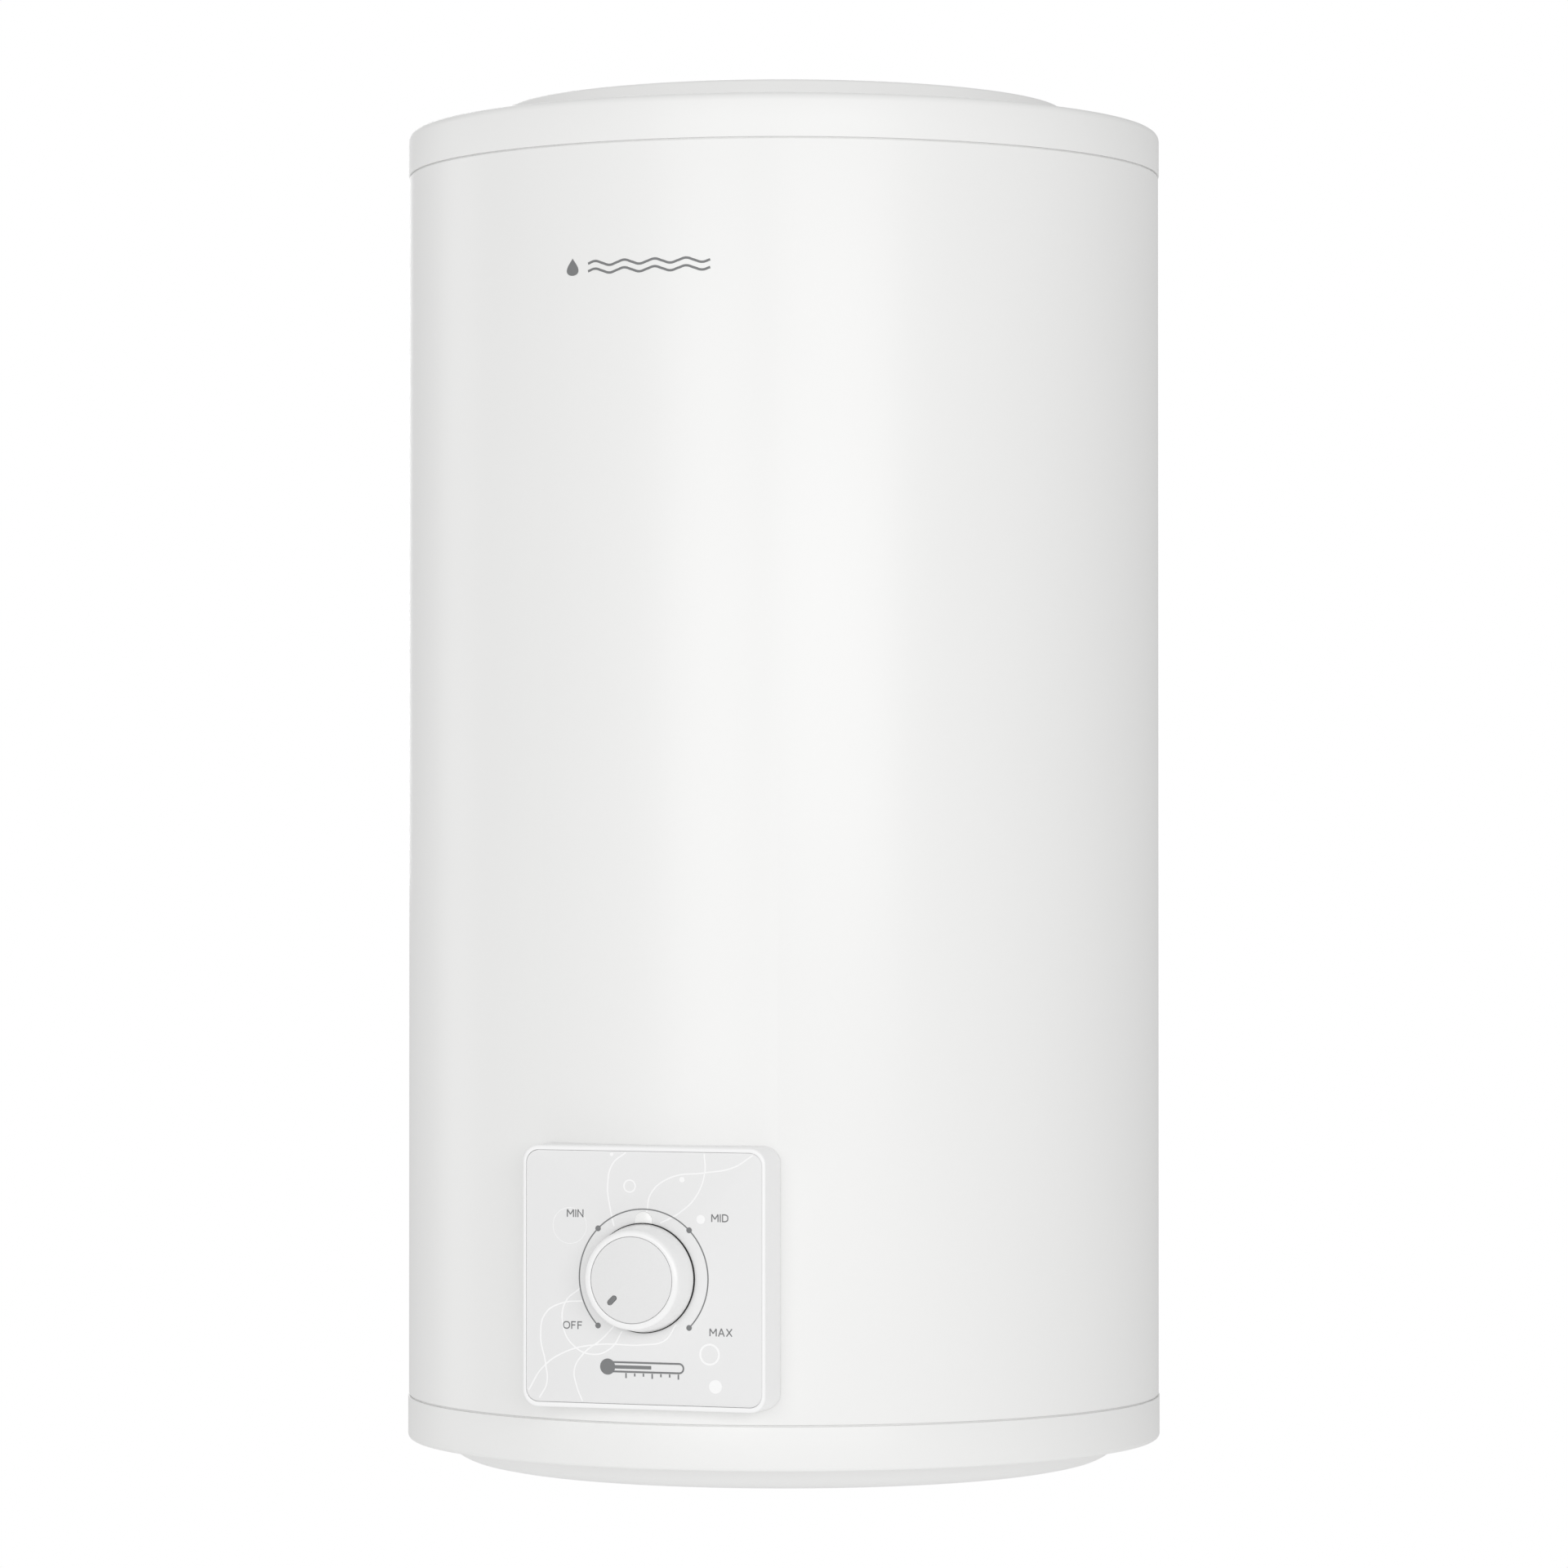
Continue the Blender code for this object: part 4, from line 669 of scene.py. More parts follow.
class HEATER_OT_jacket(PieceOperator):
    """Model the painted jacket, with its window and its lapped joint at the back"""
    bl_idname = "heater.jacket"
    bl_label = "Jacket"

    def execute(self, context):
        low, high = JACKET_LOW.z, JACKET_HIGH.z
        inside, outer_edge, inner_edge = RADIUS - SHEET, sizes().seam_edge * 0.8, 0.0001
        wall = turned("painted_jacket",
                      [(inside, low, inner_edge), (RADIUS, low, outer_edge),
                       (RADIUS, high, outer_edge), (inside, high, inner_edge)],
                      (0, AXIS_Y, 0))
        width = FACE_HIGH.x - FACE_LOW.x
        height = SURROUND_HIGH.z - SURROUND_LOW.z - 0.018
        cut(wall, plate("window", width, height, -THROUGH, THROUGH, 0.008, PANEL, FRONT))
        back = AXIS_Y + RADIUS
        for node in ("hanger_boss_1", "hanger_boss_2"):
            x, _, z = middle_of(node)
            cut(wall, bar("hole", span_of(node)[0] / 2 + GAP, -THROUGH, THROUGH,
                          (x, back, z), REAR))
        cut(wall, bar("hole", SCREW_HOLE, -THROUGH, THROUGH,
                      (0, back, middle_of("spacer_screw")[2]), REAR, SCREW_SIDES))
        hand_over(wall, "heater", "white_paint", powder_coat(), "jacket")
        self.lap(low, high)
        return {"FINISHED"}

    @staticmethod
    def lap(low, high):
        """The sheet's free edge lies over its start, clinched at even steps."""
        deselect()
        bpy.ops.mesh.primitive_grid_add(x_subdivisions=16, y_subdivisions=2, size=1)
        tall = high - low - 0.0012
        lap = put(named("jacket_lap"), (0, (low + high) / 2, 0), UP,
                  (sizes().lap_width, tall, 1))
        edit(lap)
        bpy.ops.mesh.select_all(action="SELECT")
        bpy.ops.mesh.extrude_region_move(TRANSFORM_OT_translate={"value": (0, 0, SHEET)})

        def outer_rim(edge):
            """An edge between the outer face and a side."""
            sides = [face.normal for face in edge.link_faces]
            return (all(vert.co.z > SHEET / 2 for vert in edge.verts)
                    and (len(sides) == 1
                         or len(sides) == 2 and abs(sides[0].dot(sides[1])) < 0.1))

        deselect()
        round_edges(lap, outer_rim, 0.0002, 2)
        count, turn = 9, math.radians(24)
        ring = [(0, -0.0002, 0), (0.0030, -0.0002, 0), (0.0026, 0.0009, 0.0003),
                (0.0018, 0.0009, 0.0003), (0.0014, 0.0005, 0.0003), (0, 0.0005, 0)]
        clinch = [turned("clinch", ring, (0, low + tall * (step + 0.5) / count, SHEET),
                         steps=32) for step in range(count)]
        lap = joined("jacket_lap", [*clinch, lap])
        wrap(lap, 10 * LAYER)
        lap = put(lap, (0, -AXIS_Y, 0))
        lap = put(lap, (0, AXIS_Y, 0), (0, 0, math.pi + turn))
        hand_over(lap, "heater", "white_paint", powder_coat())


class HEATER_OT_caps(PieceOperator):
    """Model the two moulded caps, each with its raised round disc"""
    bl_idname = "heater.caps"
    bl_label = "Caps"

    def execute(self, context):
        upper = turned("upper_cap", cap_section(UPPER_DISC, sizes().upper_corner),
                       (0, AXIS_Y, TOP), DOWN)
        hand_over(upper, "heater", "white_plastic", moulded_abs(), "top_cap")

        lower = turned("lower_cap", cap_section(LOWER_DISC, sizes().lower_corner),
                       (0, AXIS_Y, BOTTOM), UP)
        width, depth, _ = span_of("service_cover")
        floor = (0, middle_of("service_cover")[1], BOTTOM)
        hatch, recess, under = 0.0012, 0.0015, 0.0075
        screws = {node: (middle_of(node)[0], *floor[1:])
                  for node in ("cover_screw_1", "cover_screw_2")}
        for spot in screws.values():
            cut(lower, bar("boss", 0.0045, recess, 0.009, spot, UP, SCREW_SIDES),
                operation="UNION")
            cut(lower, bar("hole", SCREW_HOLE, -0.02, 0.0073, spot, UP, SCREW_SIDES))
        cut(lower,
            plate("recess", width + 2 * GAP, depth + 2 * GAP, -0.02, recess, 0.008, floor),
            plate("opening", width - 0.022, depth - 0.011, -0.02, under, 0.004, floor))
        for node, reach in (("cable_gland", 0.0081), ("cold_nipple", 0.0111),
                            ("hot_nipple", 0.0111)):
            x, y, _ = middle_of(node)
            cut(lower, bar("hole", reach, -0.02, under, (x, y, BOTTOM), UP))
        hand_over(lower, "heater", "white_plastic", moulded_abs(), "bottom_cap")

        cover = plate("service_hatch", width, depth, 0, hatch, 0.0077,
                      (0, floor[1], BOTTOM + hatch), DOWN, edge=0.0004)
        cut(cover, plate("field", width - 0.030, depth - 0.016, -0.01, 0.0004, 0.005, floor))
        for node, spot in screws.items():
            cut(cover, bar("hole", SCREW_HOLE, -0.02, 0.02, spot, UP, SCREW_SIDES))
            screw = pan_screw(node + "_fine", (*spot[:2], BOTTOM - GAP), DOWN)
            hand_over(screw, "heater", "zinc_steel", zinc_plate(), node)
        hand_over(cover, "heater", "white_plastic", moulded_abs(), "service_cover")
        return {"FINISHED"}


class HEATER_OT_panel(PieceOperator):
    """Model the control panel's surround, its face plate and its lens"""
    bl_idname = "heater.panel"
    bl_label = "Control panel"

    def execute(self, context):
        size = sizes()
        width = SURROUND_HIGH.x - SURROUND_LOW.x
        height = SURROUND_HIGH.z - SURROUND_LOW.z
        proud = PANEL.y - SURROUND_LOW.y
        depth = SURROUND_HIGH.y - PANEL.y
        face_width, face_height = FACE_HIGH.x - FACE_LOW.x, FACE_HIGH.z - FACE_LOW.z
        thickness = FACE_HIGH.y - FACE_LOW.y
        surround = plate("panel_surround", width, height, -depth - 0.02, proud, 0.008,
                         PANEL, FRONT, edge=size.surround_edge, steps=14)
        ledge, inner_corner = 0.006, FACE_CORNER - 0.0041
        cut(surround,
            plate("pocket", face_width + GAP, face_height + GAP, -thickness - GAP, THROUGH,
                  FACE_CORNER, PANEL, FRONT),
            plate("inside", face_width - ledge, face_height - ledge, -0.1, THROUGH,
                  inner_corner, PANEL, FRONT),
            bar("jacket_cutter", RADIUS + GAP, JACKET_LOW.z - THROUGH, JACKET_HIGH.z,
                (0, AXIS_Y, 0), UP, size.turn_steps))

        def inner_rim(edge):
            """An edge of the pocket's mouth."""
            reach_x, reach_z = face_width / 2 + 0.0005, face_height / 2 + 0.0005
            return all(abs(vert.co.y - PANEL.y + proud) < TINY and abs(vert.co.x) < reach_x
                       and abs(vert.co.z - PANEL.z) < reach_z for vert in edge.verts)

        round_edges(surround, inner_rim, 0.0002, 2)
        for node in ("bracket_screw_1", "bracket_screw_2"):
            spot = (middle_of(node)[0], PANEL.y, PANEL.z)
            cut(surround, bar("post", 0.0042, -0.0247, -thickness - 2 * GAP, spot, FRONT,
                              SCREW_SIDES), operation="UNION")
            cut(surround, bar("post_hole", SCREW_HOLE, -0.025, -0.016, spot, FRONT,
                              SCREW_SIDES))
        # The surround's ABS is lighter than the caps' ABS: painted light on its walls
        hand_over(surround, "heater", "white_plastic", painted_light_abs(), "panel_frame")

        face = plate("face_plate", face_width, face_height, -thickness, 0, FACE_CORNER,
                     PANEL, FRONT, edge=0.00025)
        lens_low, lens_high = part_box("indicator_lens")
        lens_width = lens_high.x - lens_low.x
        lens_top, lens_foot = lens_high.z - PANEL.z, lens_low.z - PANEL.z
        cut(face, bar("spindle_hole", 0.0042, -0.01, 0.01, PANEL, FRONT, 48),
            self.lens("lens_hole", lens_width + 2 * SNUG, lens_foot - SNUG,
                      lens_top + SNUG, -0.01, 0.01))
        hand_over(face, "heater", "panel_grey", printed_face(), "panel_face")
        lens = self.lens("opal_lens", lens_width, lens_foot, lens_top,
                         PANEL.y - lens_high.y, PANEL.y - lens_low.y, 0.0003)
        hand_over(lens, "heater", "lens_plastic", opal_acrylic(), "indicator_lens")
        return {"FINISHED"}

    @staticmethod
    def lens(name, width, foot, top, low, high, edge=0.0):
        """A strip with a round upper end, in the panel's plane."""
        deselect()
        bpy.ops.mesh.primitive_cube_add(size=1)
        piece = put(named(name), (0, (foot + top) / 2, (low + high) / 2), UP,
                    (width, top - foot, high - low))
        round_edges(piece, lambda e: upright(e) and e.verts[0].co.y > top - TINY,
                    width / 2 - TINY, 16)
        if edge:
            round_edges(piece, at_height(high), edge)
        return put(piece, PANEL, FRONT)


class HEATER_OT_panel_print(PieceOperator):
    """Print the dial, its words, and the plain lines and rings on the face plate"""
    bl_idname = "heater.panel_print"
    bl_label = "Panel print"

    def execute(self, context):
        letters = sizes().letter_height
        mm = 0.001
        # Dial: an arc with a dot at each of the four settings
        reach = 33.2 * mm
        dial = [ink_strip("dial_arc", reach, 0.60 * mm, 225, 270, 108)]
        for index, turn in enumerate((45, 135, 225, 315)):
            along = math.radians(turn)
            dial.append(ink_dot(f"dial_dot_{index}", 1.4 * mm,
                                (reach * math.cos(along), reach * math.sin(along), LAYER)))
        for word, x, y in (("OFF", -36.6, -23.6), ("MIN", -35.4, 30.6),
                           ("MID", 39.2, 29.6), ("MAX", 39.8, -25.3)):
            dial += ink_word(word, letters, x * mm, y * mm)
        self.print_on("dial_print", dial, grey_ink(), "dark_mark", 15)

        # A level thermometer with its scale, low on the panel
        tube = inked(self.flat("tube", 39 * mm, 5.4 * mm, 2.7 * mm))
        cut(tube, plate("hollow", 37.4 * mm, 3.6 * mm, -0.01, 0.01, 1.8 * mm - TINY),
            bar("bulb_room", 3.92 * mm, -0.01, 0.01, (-20 * mm, 0, 0)))
        symbol = [ink_dot("bulb", 3.9 * mm, (-18.5 * mm, 0, 0)), put(tube, (1.5 * mm, 0, 0)),
                  ink_line("column", [(-14.6 * mm, 0), (4 * mm, 0)], 1.7 * mm, 1)]
        for tick in range(7):
            x = (-9 + 4.5 * tick) * mm
            reach = (2.4 if tick % 3 == 0 else 1.5) * mm
            symbol.append(ink_line("tick", [(x, -2.9 * mm), (x, -2.9 * mm - reach)],
                                   0.8 * mm, 1))
        for piece in symbol:
            put(piece, (0, -43.2 * mm, 0))
        self.print_on("thermometer_print", symbol, grey_ink(), "dark_mark", 15)

        # Plain ornament in white: flowing lines, rings and dots
        lines = [
            [(-9.2, 60.4), (-16, 54.8), (-18.6, 44.6), (-17.3, 33.4), (-15.3, 24.6)],
            [(56.0, 60.0), (46, 54.0), (31, 51.2), (14, 48.7), (4, 41.2), (1.6, 31.8)],
            [(31.2, 60.4), (31.4, 51), (26.5, 39.2), (18, 31.5), (8.6, 26.6)],
            [(-32.8, -5.6), (-40.4, -12.4), (-42, -22.4), (-37, -32.8), (-26.2, -37.5),
             (-16.6, -34), (-11, -25.8)],
            [(-31.6, -11.8), (-42.2, -13.0), (-51, -18.4), (-53.4, -28.8), (-50.8, -42.6),
             (-50.2, -52), (-54, -59.2)],
            [(-59.6, -55.6), (-52.6, -44.8), (-41, -36.8), (-24, -32.7), (0, -32.2),
             (11, -29.8), (16.8, -21.8)],
            [(-15.2, -23.5), (-21.6, -30), (-31.2, -37.4), (-35.8, -45), (-34.6, -53),
             (-31.6, -60.2)]]
        white = [put(ink_line(f"flow_{index}", [(x * mm, y * mm) for x, y in points],
                              0.72 * mm), (0, 0, index * LAYER))
                 for index, points in enumerate(lines)]
        rings = [(-7.2, 44.2, 2.9, 0.75), (34.0, -36.0, 4.8, 0.95), (-38.2, 24.6, 8.7, 0.25)]
        for index, (x, y, radius, width) in enumerate(rings):
            ring = ink_strip(f"ring_{index}", radius * mm, width * mm, 0, 360, 72)
            white.append(put(ring, (x * mm, y * mm, 0)))
        dots = [(-16.5, 59.4, 0.9), (19.8, 47.8, 1.35), (29.4, 28.8, 2.2), (37.0, -51.4, 3.3)]
        for index, (x, y, radius) in enumerate(dots):
            white.append(ink_dot(f"white_dot_{index}", radius * mm, (x * mm, y * mm, 0)))
        self.print_on("white_print", white, white_ink(), "lens_plastic", 5)
        return {"FINISHED"}

    @staticmethod
    def flat(name, width, height, corner):
        """A flat plate with round corners."""
        deselect()
        bpy.ops.mesh.primitive_plane_add(size=1)
        piece = put(named(name), scale=(width, height, 1))
        edit(piece)
        bpy.ops.mesh.select_all(action="SELECT")
        bpy.ops.mesh.bevel(offset=corner - TINY, segments=12, affect="VERTICES")
        return piece

    @staticmethod
    def print_on(name, pieces, material, slot, layer):
        """Join printed marks into one piece and lay it on the face plate, at a layer."""
        sheet = put(joined(name, pieces), PANEL - Vector((0, layer * LAYER, 0)), FRONT)
        hand_over(sheet, "heater", slot, material)


class HEATER_OT_knob(PieceOperator):
    """Model the temperature knob with its inlaid disc, its mark, and a dark ring under it that
    is painted shade in the gap behind the knob
    """
    bl_idname = "heater.knob"
    bl_label = "Temperature knob"

    def execute(self, context):
        size = sizes()
        base = (KNOB_HIGH.x - KNOB_LOW.x) / 2
        front = PANEL.y - KNOB_LOW.y
        lift = PANEL.y - KNOB_HIGH.y
        taper, ring, recess, wall = 0.0023, 0.0029, 0.0012, 0.0022
        rim = base - taper
        inlay = rim - ring
        floor = front - recess
        under = floor - wall
        bore, hub = 0.0033, 0.0068
        knob = turned("round_knob",
                      [(0, under - wall, 0), (bore, under - wall, 0),
                       (bore, 0.002, 0.0002), (hub, 0.002, 0.0004), (hub, under, 0.0005),
                       (rim - wall, under, 0.0008), (base - wall, lift, 0.0003),
                       (base, lift, 0.0004), (rim, front, size.knob_edge),
                       (inlay, front, 0.0003), (inlay, floor, 0.0002), (0, floor, 0)],
                      PANEL, FRONT, 160)
        hand_over(knob, "temperature_knob", "knob_plastic", knob_abs(), "knob")

        # A dark ring a little wider than the knob's foot: painted shade, a thin dark line round
        # the gap under the knob
        eye, brim = 0.0050, base + 0.0004
        shade_ring = turned("felt_washer",
                        [(eye, SNUG, 0), (brim, SNUG, 0.0002), (brim, lift - SNUG, 0.0002),
                         (eye, lift - SNUG, 0)], PANEL, FRONT, 160)
        hand_over(shade_ring, "temperature_knob", "black_plastic", painted_shade_finish())

        disc_low, disc_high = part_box("knob_disc")
        low, high = PANEL.y - disc_high.y, PANEL.y - disc_low.y
        reach = (disc_high.x - disc_low.x) / 2
        disc = turned("knob_inlay", [(0, low, 0), (reach, low, 0), (reach, high, 0.0002),
                                     (0, high, 0)], PANEL, FRONT, 160)
        mark_low, mark_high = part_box("knob_pointer")
        middle = (mark_low + mark_high) / 2
        turn = math.radians(225)
        length, width = 0.0052, 0.0022
        spot = (middle.x, PANEL.y, middle.z)
        slot = plate("slot", length + 2 * GAP, width + 2 * GAP, 0, 0.05,
                     width / 2 + GAP - TINY, facing=(0, 0, turn))
        cut(disc, put(slot, spot, FRONT))
        hand_over(disc, "temperature_knob", "panel_grey", knob_inlay(), "knob_disc")
        stroke = plate("knob_mark", length, width, low, PANEL.y - mark_low.y,
                       width / 2 - TINY, facing=(0, 0, turn), edge=0.0002)
        stroke = put(stroke, spot, FRONT)
        hand_over(stroke, "temperature_knob", "dark_mark", grey_ink(), "knob_pointer")
        return {"FINISHED"}


class HEATER_OT_front_mark(PieceOperator):
    """Print a plain mark of a drop and waves on the jacket"""
    bl_idname = "heater.front_mark"
    bl_label = "Front mark"

    def execute(self, context):
        tall = sizes().mark_height
        pieces = [ink_drop("drop", tall, (-0.0345, 0.0006, 0))]
        for index in (-1, 1):
            line = ink_line(f"wave_{index}", wave(0.064, 0.0022, 4), 0.0012, 10)
            pieces.append(put(line, (0.0065, index * tall * 0.22, 0)))
        sheet = put(joined("front_mark", pieces), (-0.009, BOTTOM + 0.596, 0))
        wrap(sheet, 0.00001)
        hand_over(sheet, "heater", "dark_mark", grey_ink())
        return {"FINISHED"}


class HEATER_OT_hanger(PieceOperator):
    """Model the pressed wall hanger, its bolts and the bosses that carry it"""
    bl_idname = "heater.hanger"
    bl_label = "Wall hanger"

    def execute(self, context):
        sheet = BRACKET_SHEET
        width = BRACKET_HIGH.x - BRACKET_LOW.x
        near = BRACKET_LOW.y + sheet / 2
        far = BRACKET_HIGH.y - sheet / 2
        half, tip = 0.022 - sheet / 2, (BRACKET_HIGH.z - BRACKET_LOW.z) / 2
        deselect()
        bpy.ops.mesh.primitive_plane_add(size=0.01)
        hanger = named("pressed_hanger")
        edit(hanger)
        bpy.ops.mesh.select_all(action="SELECT")
        bpy.ops.mesh.merge(type="CENTER")
        path = [(far, tip), (far, half), (near, half), (near, -half), (far, -half),
                (far, -tip)]
        bpy.ops.transform.translate(value=(-width / 2, *path[0]))
        for here, there in zip(path, path[1:]):
            step = (0, there[0] - here[0], there[1] - here[1])
            bpy.ops.mesh.extrude_vertices_move(TRANSFORM_OT_translate={"value": step})
        bends = [Vector((-width / 2, *point)) for point in path[1:-1]]
        mark(hanger, "verts", lambda vert: min((vert.co - bend).length
                                               for bend in bends) < TINY)
        bpy.ops.mesh.bevel(offset=0.0030, segments=5, affect="VERTICES")
        bpy.ops.mesh.select_all(action="SELECT")
        bpy.ops.mesh.extrude_edges_move(TRANSFORM_OT_translate={"value": (width, 0, 0)})
        bpy.ops.mesh.select_all(action="SELECT")
        bpy.ops.mesh.normals_make_consistent(inside=False)
        deselect()
        change(hanger, "SOLIDIFY", thickness=sheet, offset=0.0)
        edit(hanger)
        bpy.ops.mesh.select_all(action="SELECT")
        bpy.ops.mesh.normals_make_consistent(inside=False)
        round_edges(hanger, lambda e: all(abs(v.co.x) > width / 2 - TINY
                                          and abs(v.co.z) > tip - TINY for v in e.verts)
                    and abs(e.verts[0].co.y - e.verts[1].co.y) > sheet / 2, 0.006, 6)
        hanger = put(hanger, (0, 0, BRACKET_Z))
        seats = [middle_of(f"hanger_bolt_{index}")[::2] for index in (1, 2)]
        for x in (-0.078, 0.078):
            cut(hanger, plate("hook_slot", 0.030, 0.012, -0.03, 0.03, 0.0057, (x, 0, 0), REAR))
        bolt_hole = 0.0043
        for x, z in seats:
            cut(hanger, bar("bolt_hole", bolt_hole, -0.03, 0.03, (x, 0, z), REAR, 48))
        change(hanger, "BEVEL", width=0.00035, segments=2, limit_method="ANGLE",
               angle_limit=math.radians(50))
        hand_over(hanger, "heater", "zinc_steel", zinc_plate(), "hanger_bracket")

        for index, (x, z) in enumerate(seats, 1):
            bolt_low, bolt_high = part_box(f"hanger_bolt_{index}")
            boss_low, boss_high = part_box(f"hanger_boss_{index}")
            seat = BRACKET_LOW.y + sheet + GAP
            self.bolt(index, (x, seat, z), seat - bolt_low.y, bolt_high.y - seat)
            radius, tall = (boss_high.x - boss_low.x) / 2, boss_high.y - boss_low.y
            boss = turned(f"welded_boss_{index}",
                          [(bolt_hole, 0, 0), (radius, 0, 0), (radius, tall, 0.0008),
                           (bolt_hole, tall, 0.0004)], (x, boss_low.y, z), REAR, 64)
            cut(boss, bar("tank_cutter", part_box("tank_shell")[1].x + GAP, JACKET_LOW.z,
                          JACKET_HIGH.z, (0, AXIS_Y, 0), UP, 192))
            hand_over(boss, "heater", "zinc_steel", zinc_plate(), f"hanger_boss_{index}")
        return {"FINISHED"}

    @staticmethod
    def bolt(index, place, length, tall):
        """A hexagon bolt whose head is chamfered where a cone trims its corners."""
        reach = 0.0075
        deselect()
        bpy.ops.mesh.primitive_cylinder_add(vertices=6, radius=reach, depth=tall)
        head = put(named("hexagon_bolt"), (0, 0, tall / 2))
        trim = turned("trim", [(0, -0.001, 0), (reach + 0.001, -0.001, 0),
                               (reach + 0.001, tall - 0.0016, 0), (reach * 0.86, tall, 0),
                               (0, tall, 0)], steps=96)
        cut(head, trim, operation="INTERSECT")
        shank = turned("shank", [(0, -length, 0), (0.0040, -length, 0.0005),
                                 (0.0040, tall / 2, 0), (0, tall / 2, 0)], steps=48)
        cut(head, shank, operation="UNION")
        bolt = put(head, place, REAR)
        bolt.name = bolt.data.name = f"hexagon_bolt_{index}"
        hand_over(bolt, "heater", "zinc_steel", zinc_plate(), f"hanger_bolt_{index}")


class HEATER_OT_spacer(PieceOperator):
    """Model the lower wall spacer and its screw"""
    bl_idname = "heater.spacer"
    bl_label = "Wall spacer"

    def execute(self, context):
        low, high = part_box("lower_spacer")
        middle = (low + high) / 2
        place = (middle.x, high.y, middle.z)
        recess = 0.008
        spacer = plate("wall_spacer", high.x - low.x, high.z - low.z, low.y - high.y - 0.02,
                       0, 0.005, place, REAR, edge=0.0010)
        cut(spacer,
            bar("jacket_cutter", RADIUS + GAP, JACKET_LOW.z, JACKET_HIGH.z, (0, AXIS_Y, 0),
                UP, sizes().turn_steps),
            bar("recess", 0.0060, -recess, 0.01, place, REAR, 48),
            bar("hole", SCREW_HOLE, -THROUGH, 0.01, place, REAR, SCREW_SIDES))
        for x in (-0.0145, 0.0145):
            for z in (-0.0075, 0.0075):
                spot = (middle.x + x, high.y, middle.z + z)
                cut(spacer, plate("pocket", 0.0090, 0.0095, -0.005, 0.01, 0.0015, spot, REAR,
                                  steps=3))
        hand_over(spacer, "heater", "dark_mark", polyamide(), "lower_spacer")
        seat = high.y - recess + GAP
        screw = pan_screw("spacer_screw_fine", (middle.x, seat, middle.z), REAR,
                          length=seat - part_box("spacer_screw")[0].y)
        hand_over(screw, "heater", "zinc_steel", zinc_plate(), "spacer_screw")
        return {"FINISHED"}


class HEATER_OT_connections(PieceOperator):
    """Model the two threaded pipe ends, their colour rings and the cable gland"""
    bl_idname = "heater.connections"
    bl_label = "Connections"

    def execute(self, context):
        for side, slot, code in (("cold", "blue_plastic", "#1F5FB4"),
                                 ("hot", "red_plastic", "#C3262A")):
            x, y, _ = middle_of(f"{side}_nipple")
            width, _, length = span_of(f"{side}_nipple")
            self.nipple(side, (x, y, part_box(f"{side}_nipple")[0].z), length, width / 2)
            width, _, tall = span_of(f"{side}_ring")
            eye, radius = 0.0108, width / 2
            ring = turned(f"{side}_collar",
                          [(eye, 0, 0.0003), (radius, 0, 0.0009), (radius, tall, 0.0003),
                           (eye, tall, 0)], (x, y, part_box(f"{side}_ring")[0].z), UP, 96)
            hand_over(ring, "heater", slot,
                      polypropylene(slot.replace("plastic", "polypropylene"), code),
                      f"{side}_ring")
        self.gland()
        return {"FINISHED"}

    @staticmethod
    def nipple(side, place, length, radius):
        """A pipe whose lower end carries a rolled thread, cut as a true helix."""
        pitch = sizes().thread_pitch
        thread_end, bore, rows_per_pitch = 0.0145, 0.0080, 8
        rows = int(thread_end / pitch * rows_per_pitch)
        section = [(bore, 0, 0.0004)]
        section += [(radius, thread_end * row / rows, 0) for row in range(rows + 1)]
        section += [(radius, length, 0.0003), (bore, length, 0)]
        piece = turned(f"{side}_pipe_end", section, steps=96)
        for vert in piece.data.vertices:
            out = math.hypot(vert.co.x, vert.co.y)
            height = vert.co.z
            if out < radius - TINY or height > thread_end:
                continue
            turn = math.atan2(vert.co.y, vert.co.x) / math.tau
            groove = min(1, 1.3 * abs(2 * ((height / pitch - turn) % 1) - 1))
            fade = min(1, (thread_end - height) / pitch)
            lead_in = max(0, 1 - height / pitch)
            depth = 0.00085 * groove * fade + 0.0006 * lead_in
            vert.co.x *= (radius - depth) / out
            vert.co.y *= (radius - depth) / out
        put(piece, place)
        hand_over(piece, "heater", "zinc_steel", zinc_plate(), f"{side}_nipple", angle=50)

    @staticmethod
    def gland():
        """The gland's flange and its domed, ribbed nut."""
        x, y, _ = middle_of("cable_gland")
        place = (x, y, BOTTOM)
        thread, flange, bore = 0.0078, 0.0105, 0.0045
        foot, top = [corner.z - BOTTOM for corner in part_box("cable_gland")]
        body = turned("gland_body",
                      [(bore, foot, 0), (thread, foot, 0.0003), (thread, -0.0045, 0),
                       (flange, -0.0045, 0.0004), (flange, -GAP, 0.0003), (thread, -GAP, 0),
                       (thread, top, 0.0004), (bore, top, 0.0002)], place, UP, 96)
        hand_over(body, "heater", "black_plastic", polyamide(), "cable_gland")
        foot, top = [corner.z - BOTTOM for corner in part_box("gland_nut")]
        inner, shoulder, roof = thread + GAP, -0.0120, -0.0123
        nut = turned("gland_cap",
                     [(bore, foot, 0.0006), (thread, foot, 0.0012),
                      (flange, shoulder, 0.0010), (flange, top, 0.0004), (inner, top, 0),
                      (inner, roof, 0), (bore, roof, 0)], place, UP, 96)
        count, reach, grooves = 18, flange + 0.0004, []
        for index in range(count):
            turn = math.tau * index / count
            spot = (x + reach * math.cos(turn), y + reach * math.sin(turn), BOTTOM)
            grooves.append(bar("groove", 0.0008, -0.0125, top + 0.001, spot, UP, 12))
        cut(nut, joined("grooves", grooves))
        hand_over(nut, "heater", "black_plastic", polyamide(), "gland_nut")


